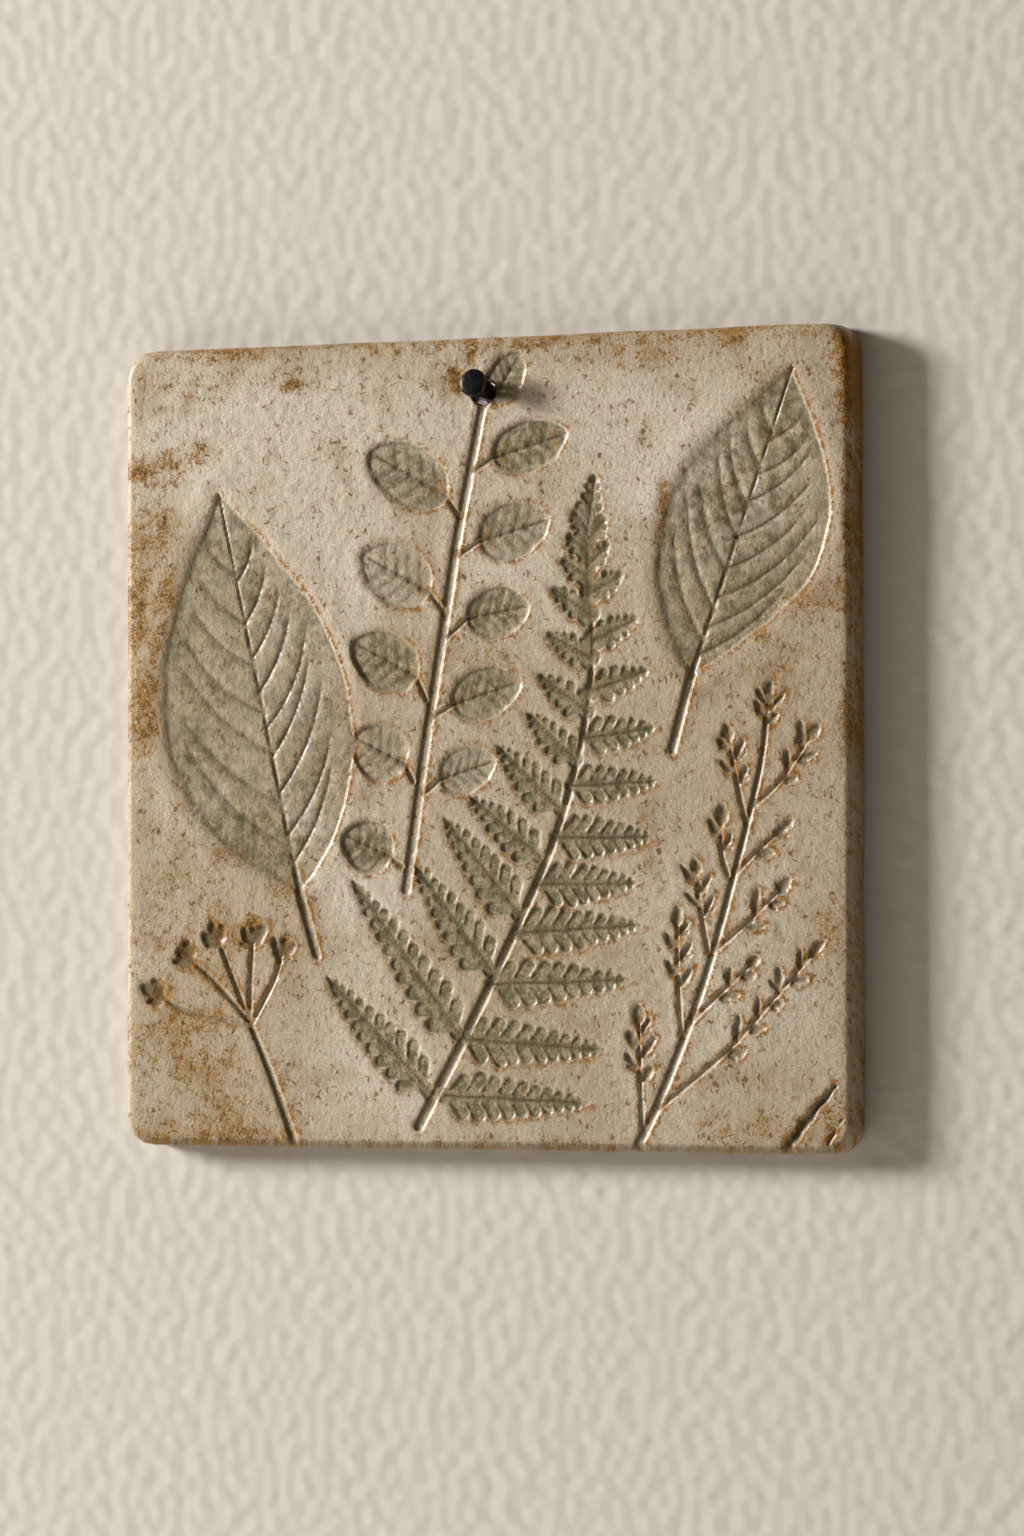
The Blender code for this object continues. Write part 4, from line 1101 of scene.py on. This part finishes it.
class Recipe:
    """The nodes of one material."""

    def __init__(self, name):
        self.material = bpy.data.materials.new(name)
        self.material.use_nodes = True
        self.tree = self.material.node_tree
        self.tree.nodes.clear()

    def node(self, kind, settings=None, sockets=None, output=0):
        """A new node with its settings, then its sockets' values or links; returns one of its outputs."""
        made = self.tree.nodes.new(kind)
        for key, value in (settings or {}).items():
            setattr(made, key, value)
        for key, value in (sockets or {}).items():
            if isinstance(value, Wire):
                self.tree.links.new(value.socket, made.inputs[key])
            elif made.inputs[key].type == "RGBA":
                made.inputs[key].default_value = (*tuple(value)[:3], 1.0)
            else:
                made.inputs[key].default_value = value
        return Wire(self, made.outputs[output]) if made.outputs else None

    def mark(self, name):
        return self.node("ShaderNodeAttribute", {"attribute_name": name}, output="Fac")

    def place(self):
        return self.node("ShaderNodeTexCoord", output="Object")

    def flat_place(self):
        """Places seen square to the face, sheared so that patterns also turn over the edges."""
        across = self.node("ShaderNodeSeparateXYZ", {}, {0: self.place()})
        depth = across.other("Y")
        sheared = {0: across + depth * 0.6, 1: across.other("Z") + depth * 0.8}
        return self.node("ShaderNodeCombineXYZ", {}, sheared)

    def noise(self, place, scale, detail=3.0, roughness=0.55, distortion=0.0, output="Fac"):
        sockets = {"Vector": place, "Scale": scale, "Detail": detail, "Roughness": roughness}
        sockets["Distortion"] = distortion
        return self.node("ShaderNodeTexNoise", {"noise_dimensions": "2D"}, sockets, output=output)

    def specks(self, place, ragged, scale, stretch, size, rarity):
        """Small ragged dashes in some cells of a pattern that is stretched along one direction."""
        shift = self.node("ShaderNodeVectorMath", {"operation": "SCALE"}, {0: ragged, "Scale": 0.9 / scale})
        sockets = {"Vector": (place + shift) * stretch, "Scale": scale}
        cells = self.node("ShaderNodeTexVoronoi", {"voronoi_dimensions": "2D"}, sockets, output="Distance")
        choice = self.node("ShaderNodeSeparateColor", {}, {0: cells.other("Color")}, output="Red")
        return (1.0 - self.step(cells, size * 0.75, size * 1.2)) * self.step(choice, rarity, rarity + 0.1)

    def step(self, value, low, high):
        """A smooth rise from 0 to 1 between two values."""
        settings = {"interpolation_type": "SMOOTHSTEP", "clamp": True}
        sockets = {"Value": value, "From Min": low, "From Max": high, "To Min": 0.0, "To Max": 1.0}
        return self.node("ShaderNodeMapRange", settings, sockets)

    def mix(self, share, first, second):
        settings = {"data_type": "RGBA", "blend_type": "MIX"}
        return self.node("ShaderNodeMix", settings, {0: share, 6: first, 7: second}, output=2)

    def bump(self, strength, distance, height):
        sockets = {"Strength": strength, "Distance": distance, "Height": height}
        return self.node("ShaderNodeBump", {}, sockets)

    def surface(self, sockets):
        return self.node("ShaderNodeBsdfPrincipled", {}, sockets)

    def output(self, surface):
        self.node("ShaderNodeOutputMaterial", {}, {"Surface": surface})
        return self.material


def glaze_material(name, look):
    """Cream glaze, thin and rusty on the edges, green-grey where it pools in the print."""
    recipe = Recipe(name)
    place, step = recipe.flat_place(), recipe.step
    leafy, line, rim, stain, pale, edge, bare = (recipe.mark(mark) for mark in Shell.MARKS)
    broad = recipe.noise(place, 22.0, 2.0)
    cloudy = recipe.noise(place, 110.0, 3.0, 0.6)
    mottle = recipe.noise(place, 430.0, 3.0, 0.65)
    fine = recipe.noise(place, 1250.0, 2.0, 0.6, 1.3)
    grain = recipe.noise(place, 2900.0, 0.0)
    ragged = recipe.noise(place, 930.0, 0.0, output="Color")
    patchy = step(mottle * 0.7 + cloudy * 0.3, 0.38, 0.60)
    floor = recipe.mix(patchy, look.floor_dark, look.floor_mid)
    floor = recipe.mix(step(fine * 0.6 + mottle * 0.4, 0.50, 0.62) * 0.65, floor, look.floor_pale)
    broken = step(fine * 0.5 + mottle * 0.5, 0.43, 0.55)
    crumbs = fine * 0.50 + mottle * 0.32 + cloudy * 0.18
    rusty = step(crumbs + stain * 0.22, 0.61, 0.66) * step(stain, 0.02, 0.20)
    deep_rust = step(crumbs + stain * 0.18, 0.67, 0.72) * step(stain, 0.10, 0.5)
    edge_rust = step(crumbs + edge * 0.04 + stain * 0.18, 0.60, 0.66) * step(edge, 0.05, 0.5)
    clustered = step(cloudy * 0.6 + mottle * 0.4 + stain * 0.1, 0.42, 0.60)
    rising = recipe.specks(place, ragged, 760.0, (1.0, 0.50, 1.0), 0.17, 0.46)
    lying = recipe.specks(place, ragged, 660.0, (0.45, 1.0, 1.0), 0.15, 0.54)
    # Paler glaze by place, including a patch of painted sheen on the right.
    colour = recipe.mix(step(broad + pale * 0.40, 0.40, 0.82), look.glaze_warm, look.glaze_pale)
    for share, layer in (
        (step(cloudy + stain * 0.30, 0.50, 0.80) * 0.50, look.glaze_brown),
        (step(mottle, 0.50, 0.70) * 0.24, look.glaze_brown),
        (leafy * (1.20 - patchy * 0.35), floor),
        (rim * (0.18 + broken * 1.20), look.iron_line),
        (rusty * 0.88, look.iron_stain),
        (deep_rust * 0.90, look.iron_dark),
        # The line mark darkens grooves and veins, and also carries painted shade on the sides of prints away
        # from the light.
        (line * (0.72 + broken * 0.28), look.groove_dark),
        (edge * 0.32, look.edge_tan),
        (edge_rust * 0.85, look.iron_stain),
        (rising * (0.26 + clustered * 0.64), look.speck),
        (lying * (0.26 + clustered * 0.60), look.speck),
    ):
        colour = recipe.mix(share, colour, layer)
    colour = colour * (0.76 + grain * 0.50)
    clay = recipe.mix(step(mottle, 0.35, 0.65), look.clay_dark, look.clay_pale)
    return recipe.output(recipe.surface({
        "Base Color": recipe.mix(step(bare, 0.3, 0.8), colour, clay),
        "Roughness": 0.34 + mottle * 0.16 + edge * 0.04 + bare * 0.36 + line * 0.10,
        "Coat Weight": (1.0 - bare) * look.coat,
        "Coat Roughness": 0.16,
        "Specular IOR Level": 0.22,
        "Normal": recipe.bump(look.glaze_ripple, 0.0003, recipe.noise(place, 420.0, 2.0, 0.75)),
    }))


def iron_material(name, look):
    """Black painted iron, rubbed on the rim of the head."""
    recipe = Recipe(name)
    place = recipe.place()
    mottle = recipe.noise(place, 900.0, 4.0, 0.6)
    hammered = recipe.noise(place, 420.0, 2.0)
    colour = recipe.mix(recipe.step(mottle, 0.35, 0.7), look.iron_black, look.iron_grey)
    rubbed = recipe.mark("worn") * recipe.step(recipe.noise(place, 600.0, 3.0), 0.45, 0.75)
    return recipe.output(recipe.surface({
        "Base Color": recipe.mix(rubbed * 0.6, colour, look.iron_worn),
        "Roughness": 0.24 + mottle * 0.12,
        "Specular IOR Level": 0.20,
        "Normal": recipe.bump(0.5, 0.0002, hammered * 0.7 + mottle * 0.3),
    }))


def plaster_material(name, colour, wall=False):
    """Matt plaster; a wall of it is rough, and clear from behind so that the back can be looked at."""
    recipe = Recipe(name)
    sockets = {"Base Color": colour, "Roughness": 0.9}
    if wall:
        sockets["Normal"] = recipe.bump(0.25, 0.0008, recipe.noise(recipe.flat_place(), 310.0, 0.0))
    surface = recipe.surface(sockets)
    if wall:
        behind = recipe.node("ShaderNodeNewGeometry", output="Backfacing")
        clear = recipe.node("ShaderNodeBsdfTransparent")
        surface = recipe.node("ShaderNodeMixShader", {}, {0: behind, 1: surface, 2: clear})
    return recipe.output(surface)


def colour_setting(name, description, value):
    limits = {"subtype": "COLOR", "size": 3, "min": 0, "max": 1}
    return FloatVectorProperty(name=name, description=description, default=value, **limits)


def length_setting(name, description, value):
    kind = {"subtype": "DISTANCE", "unit": "LENGTH"}
    return FloatProperty(name=name, description=description, default=value, **kind)


def power_setting(name, description, value):
    return FloatProperty(name=name, description=description, unit="POWER", default=value)


class PressedTileSettings(bpy.types.PropertyGroup):
    """Sizes and colours of the tile and its nail."""

    front_round: length_setting("Front Edge", "Radius of the rounded front edge", 0.0018)
    back_round: length_setting("Back Edge", "Radius of the rounded back edge", 0.0010)
    corner_round: length_setting("Corner", "Radius of the tile's corners", 0.0055)
    relief_strength: FloatProperty(
        name="Relief", description="Depth of the print", default=1.0, min=0.0, max=1.5
    )
    triangle_budget: IntProperty(name="Detail", description="Triangles of the face at most", default=173000)
    nail_sides: IntProperty(name="Nail Sides", description="Steps round the nail", default=40, min=12)
    coat: FloatProperty(name="Shine", description="Weight of the clear layer on the glaze", default=0.12)
    glaze_ripple: FloatProperty(name="Ripple", description="Unevenness of the glaze", default=0.55)
    glaze_warm: colour_setting("Warm Glaze", "Glaze where it is warmest", (0.480, 0.395, 0.285))
    glaze_pale: colour_setting("Pale Glaze", "Glaze where it is palest", (0.628, 0.561, 0.463))
    glaze_brown: colour_setting("Brown Glaze", "Fine mottling of the glaze", (0.31, 0.208, 0.098))
    floor_dark: colour_setting("Dark Print", "Dark patches in the print", (0.162, 0.146, 0.078))
    floor_mid: colour_setting("Green Print", "Usual colour of the print", (0.285, 0.246, 0.134))
    floor_pale: colour_setting("Pale Print", "Pale patches in the print", (0.47, 0.395, 0.255))
    iron_line: colour_setting("Iron Line", "Line round the print", (0.29, 0.134, 0.016))
    iron_stain: colour_setting("Iron Stain", "Rusty stains", (0.33, 0.158, 0.022))
    iron_dark: colour_setting("Dark Stain", "Middle of the rusty stains", (0.092, 0.042, 0.006))
    groove_dark: colour_setting("Dark Groove", "Bottom of grooves and veins", (0.058, 0.042, 0.010))
    edge_tan: colour_setting("Edge", "Thin glaze on the rounded edges", (0.33, 0.215, 0.095))
    speck: colour_setting("Speck", "Specks in the glaze", (0.185, 0.092, 0.026))
    clay_dark: colour_setting("Dark Clay", "Bare clay on the back", (0.34, 0.26, 0.18))
    clay_pale: colour_setting("Pale Clay", "Bare clay on the back", (0.46, 0.37, 0.27))
    iron_black: colour_setting("Black Paint", "Paint on the nail", (0.004, 0.004, 0.0038))
    iron_grey: colour_setting("Grey Paint", "Dull places in the paint", (0.009, 0.0088, 0.008))
    iron_worn: colour_setting("Rubbed Rim", "Where the paint is rubbed", (0.16, 0.14, 0.11))


class StudioSettings(bpy.types.PropertyGroup):
    """Camera, lights and the plain wall and floor."""

    lens: FloatProperty(name="Lens", description="Camera lens in millimetres", default=167.2, min=20)
    key_power: power_setting("Key", "Power of the low light from the left", 112)
    side_power: power_setting("Side", "Power of the broad light in front", 5)
    back_power: power_setting("Back", "Power of the light behind", 40)
    sky: FloatProperty(name="Sky", description="Strength of the light from all round", default=0.050)
    wall: colour_setting("Wall", "Plain wall", (0.69, 0.670, 0.640))
    floor: colour_setting("Floor", "Plain floor", (0.72, 0.70, 0.66))


def put(obj):
    bpy.context.scene.collection.objects.link(obj)
    return obj


def piece(mesh, material, low, high):
    """Puts a mesh in the scene as one piece, which has to keep to its solid's box."""
    places = np.array([vertex.co for vertex in mesh.vertices])
    if np.any(places < np.array(low) - BOX_MARGIN) or np.any(places > np.array(high) + BOX_MARGIN):
        raise RuntimeError(f"{mesh.name} strays from its solid's box")
    mesh.materials.append(material)
    return put(bpy.data.objects.new(mesh.name, mesh))


class PRESSED_OT_tile(bpy.types.Operator):
    """Make the glazed tile with its print"""

    bl_idname = "pressed.tile"
    bl_label = "Tile"

    def execute(self, context):
        look = context.scene.pressed_tile
        tile = piece(tile_mesh("glazed_tile", look), glaze_material("glaze", look), TILE_LOW, TILE_HIGH)
        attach(tile, "root")
        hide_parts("tile")
        return {"FINISHED"}


class PRESSED_OT_nail(bpy.types.Operator):
    """Make the black nail that carries the tile"""

    bl_idname = "pressed.nail"
    bl_label = "Nail"

    def execute(self, context):
        look = context.scene.pressed_tile
        nail = piece(nail_mesh("black_nail", look), iron_material("black_paint", look), NAIL_LOW, NAIL_HIGH)
        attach(nail, "root")
        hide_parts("nail")
        return {"FINISHED"}


def plane(name, corners, faces):
    """A flat sheet of the studio."""
    mesh = bpy.data.meshes.new(name)
    mesh.from_pydata(corners, [], faces)
    mesh.update()
    return put(bpy.data.objects.new(name, mesh))


def area_light(name, place, aim, size, power, colour):
    light = bpy.data.lights.new(name, "AREA")
    light.shape = "RECTANGLE"
    light.size, light.size_y = size
    light.energy = power
    light.color = colour
    lamp = put(bpy.data.objects.new(name, light))
    lamp.location = place
    lamp.rotation_euler = (Vector(aim) - Vector(place)).to_track_quat("-Z", "Y").to_euler()
    lamp.visible_camera = False


class PRESSED_OT_studio(bpy.types.Operator):
    """Make the plain wall and floor, the lights and the camera"""

    bl_idname = "pressed.studio"
    bl_label = "Studio"

    def execute(self, context):
        scene = context.scene
        studio = scene.pressed_studio
        centre = TILE_CENTRE
        behind = TILE_HIGH.y + WALL_GAP
        cut = scene.pressed_tile.corner_round * WALL_HOLE_CUT
        left, right = TILE_LOW.x + WALL_HOLE_INSET, TILE_HIGH.x - WALL_HOLE_INSET
        low, high = TILE_LOW.z + WALL_HOLE_INSET, TILE_HIGH.z - WALL_HOLE_INSET
        outline = [(-FAR_SIDE, FLOOR_LEVEL), (FAR_SIDE, FLOOR_LEVEL)]
        outline += [(FAR_SIDE, FAR_SIDE), (-FAR_SIDE, FAR_SIDE)]
        outline += [(left + cut, low), (right - cut, low), (right, low + cut), (right, high - cut)]
        outline += [(right - cut, high), (left + cut, high), (left, high - cut), (left, low + cut)]
        strips = [(i, (i + 1) % 4, 2 * i + 5, 2 * i + 4) for i in range(4)]
        strips += [((i + 1) % 4, (2 * i + 2) % 8 + 4, 2 * i + 5) for i in range(4)]
        wall = plane("studio_wall", [(x, behind, z) for x, z in outline], strips)
        wall.data.materials.append(plaster_material("wall_plaster", tuple(studio.wall), wall=True))
        corners = [(x * FAR_SIDE, y * FAR_SIDE, FLOOR_LEVEL) for x, y in ((-1, -2), (1, -2), (1, 2), (-1, 2))]
        floor = plane("studio_floor", corners, [(0, 1, 2, 3)])
        floor.data.materials.append(plaster_material("floor_plaster", tuple(studio.floor)))

        for name, offset, size, colour in LIGHTS:
            area_light(name, Vector(offset) + centre, centre, size, getattr(studio, name + "_power"), colour)
        world = bpy.data.worlds.new("studio_sky")
        world.use_nodes = True
        sky = world.node_tree.nodes["Background"]
        sky.inputs["Color"].default_value = (1.0, 0.76, 0.46, 1.0)
        sky.inputs["Strength"].default_value = studio.sky
        scene.world = world
        scene.view_settings.view_transform = "Standard"

        camera = bpy.data.cameras.new("camera")
        camera.lens = studio.lens
        camera.sensor_width = 36.0
        camera.clip_start, camera.clip_end = 0.05, 20.0
        viewer = put(bpy.data.objects.new("camera", camera))
        roll = Matrix.Rotation(CAMERA_ROLL, 3, "Z")
        spin = Euler((CAMERA_TILT, 0.0, CAMERA_TURN)).to_matrix() @ roll
        x, y, z = CAMERA_PLACE
        viewer.location = (centre.x + x, TILE_HIGH.y + y, centre.z + z)
        viewer.rotation_euler = spin.to_euler()
        scene.camera = viewer
        return {"FINISHED"}


class PRESSED_PT_panel(bpy.types.Panel):
    """Lists the pieces and their settings"""

    bl_label = "Pressed Tile"
    bl_idname = "PRESSED_PT_panel"
    bl_space_type = "VIEW_3D"
    bl_region_type = "UI"
    bl_category = "Tile"

    def draw(self, context):
        layout = self.layout
        for operator in (PRESSED_OT_tile, PRESSED_OT_nail, PRESSED_OT_studio):
            layout.operator(operator.bl_idname)
        for group in (context.scene.pressed_tile, context.scene.pressed_studio):
            box = layout.box()
            for name in group.bl_rna.properties.keys():
                if name not in ("rna_type", "name"):
                    box.prop(group, name)


CLASSES = (
    PressedTileSettings,
    StudioSettings,
    PRESSED_OT_tile,
    PRESSED_OT_nail,
    PRESSED_OT_studio,
    PRESSED_PT_panel,
)


def register():
    for cls in CLASSES:
        bpy.utils.register_class(cls)
    bpy.types.Scene.pressed_tile = PointerProperty(type=PressedTileSettings)
    bpy.types.Scene.pressed_studio = PointerProperty(type=StudioSettings)


def unregister():
    del bpy.types.Scene.pressed_studio
    del bpy.types.Scene.pressed_tile
    for cls in reversed(CLASSES):
        bpy.utils.unregister_class(cls)


def main():
    register()
    bpy.ops.pressed.studio()
    bpy.ops.pressed.tile()
    bpy.ops.pressed.nail()


if __name__ == "__main__":
    main()
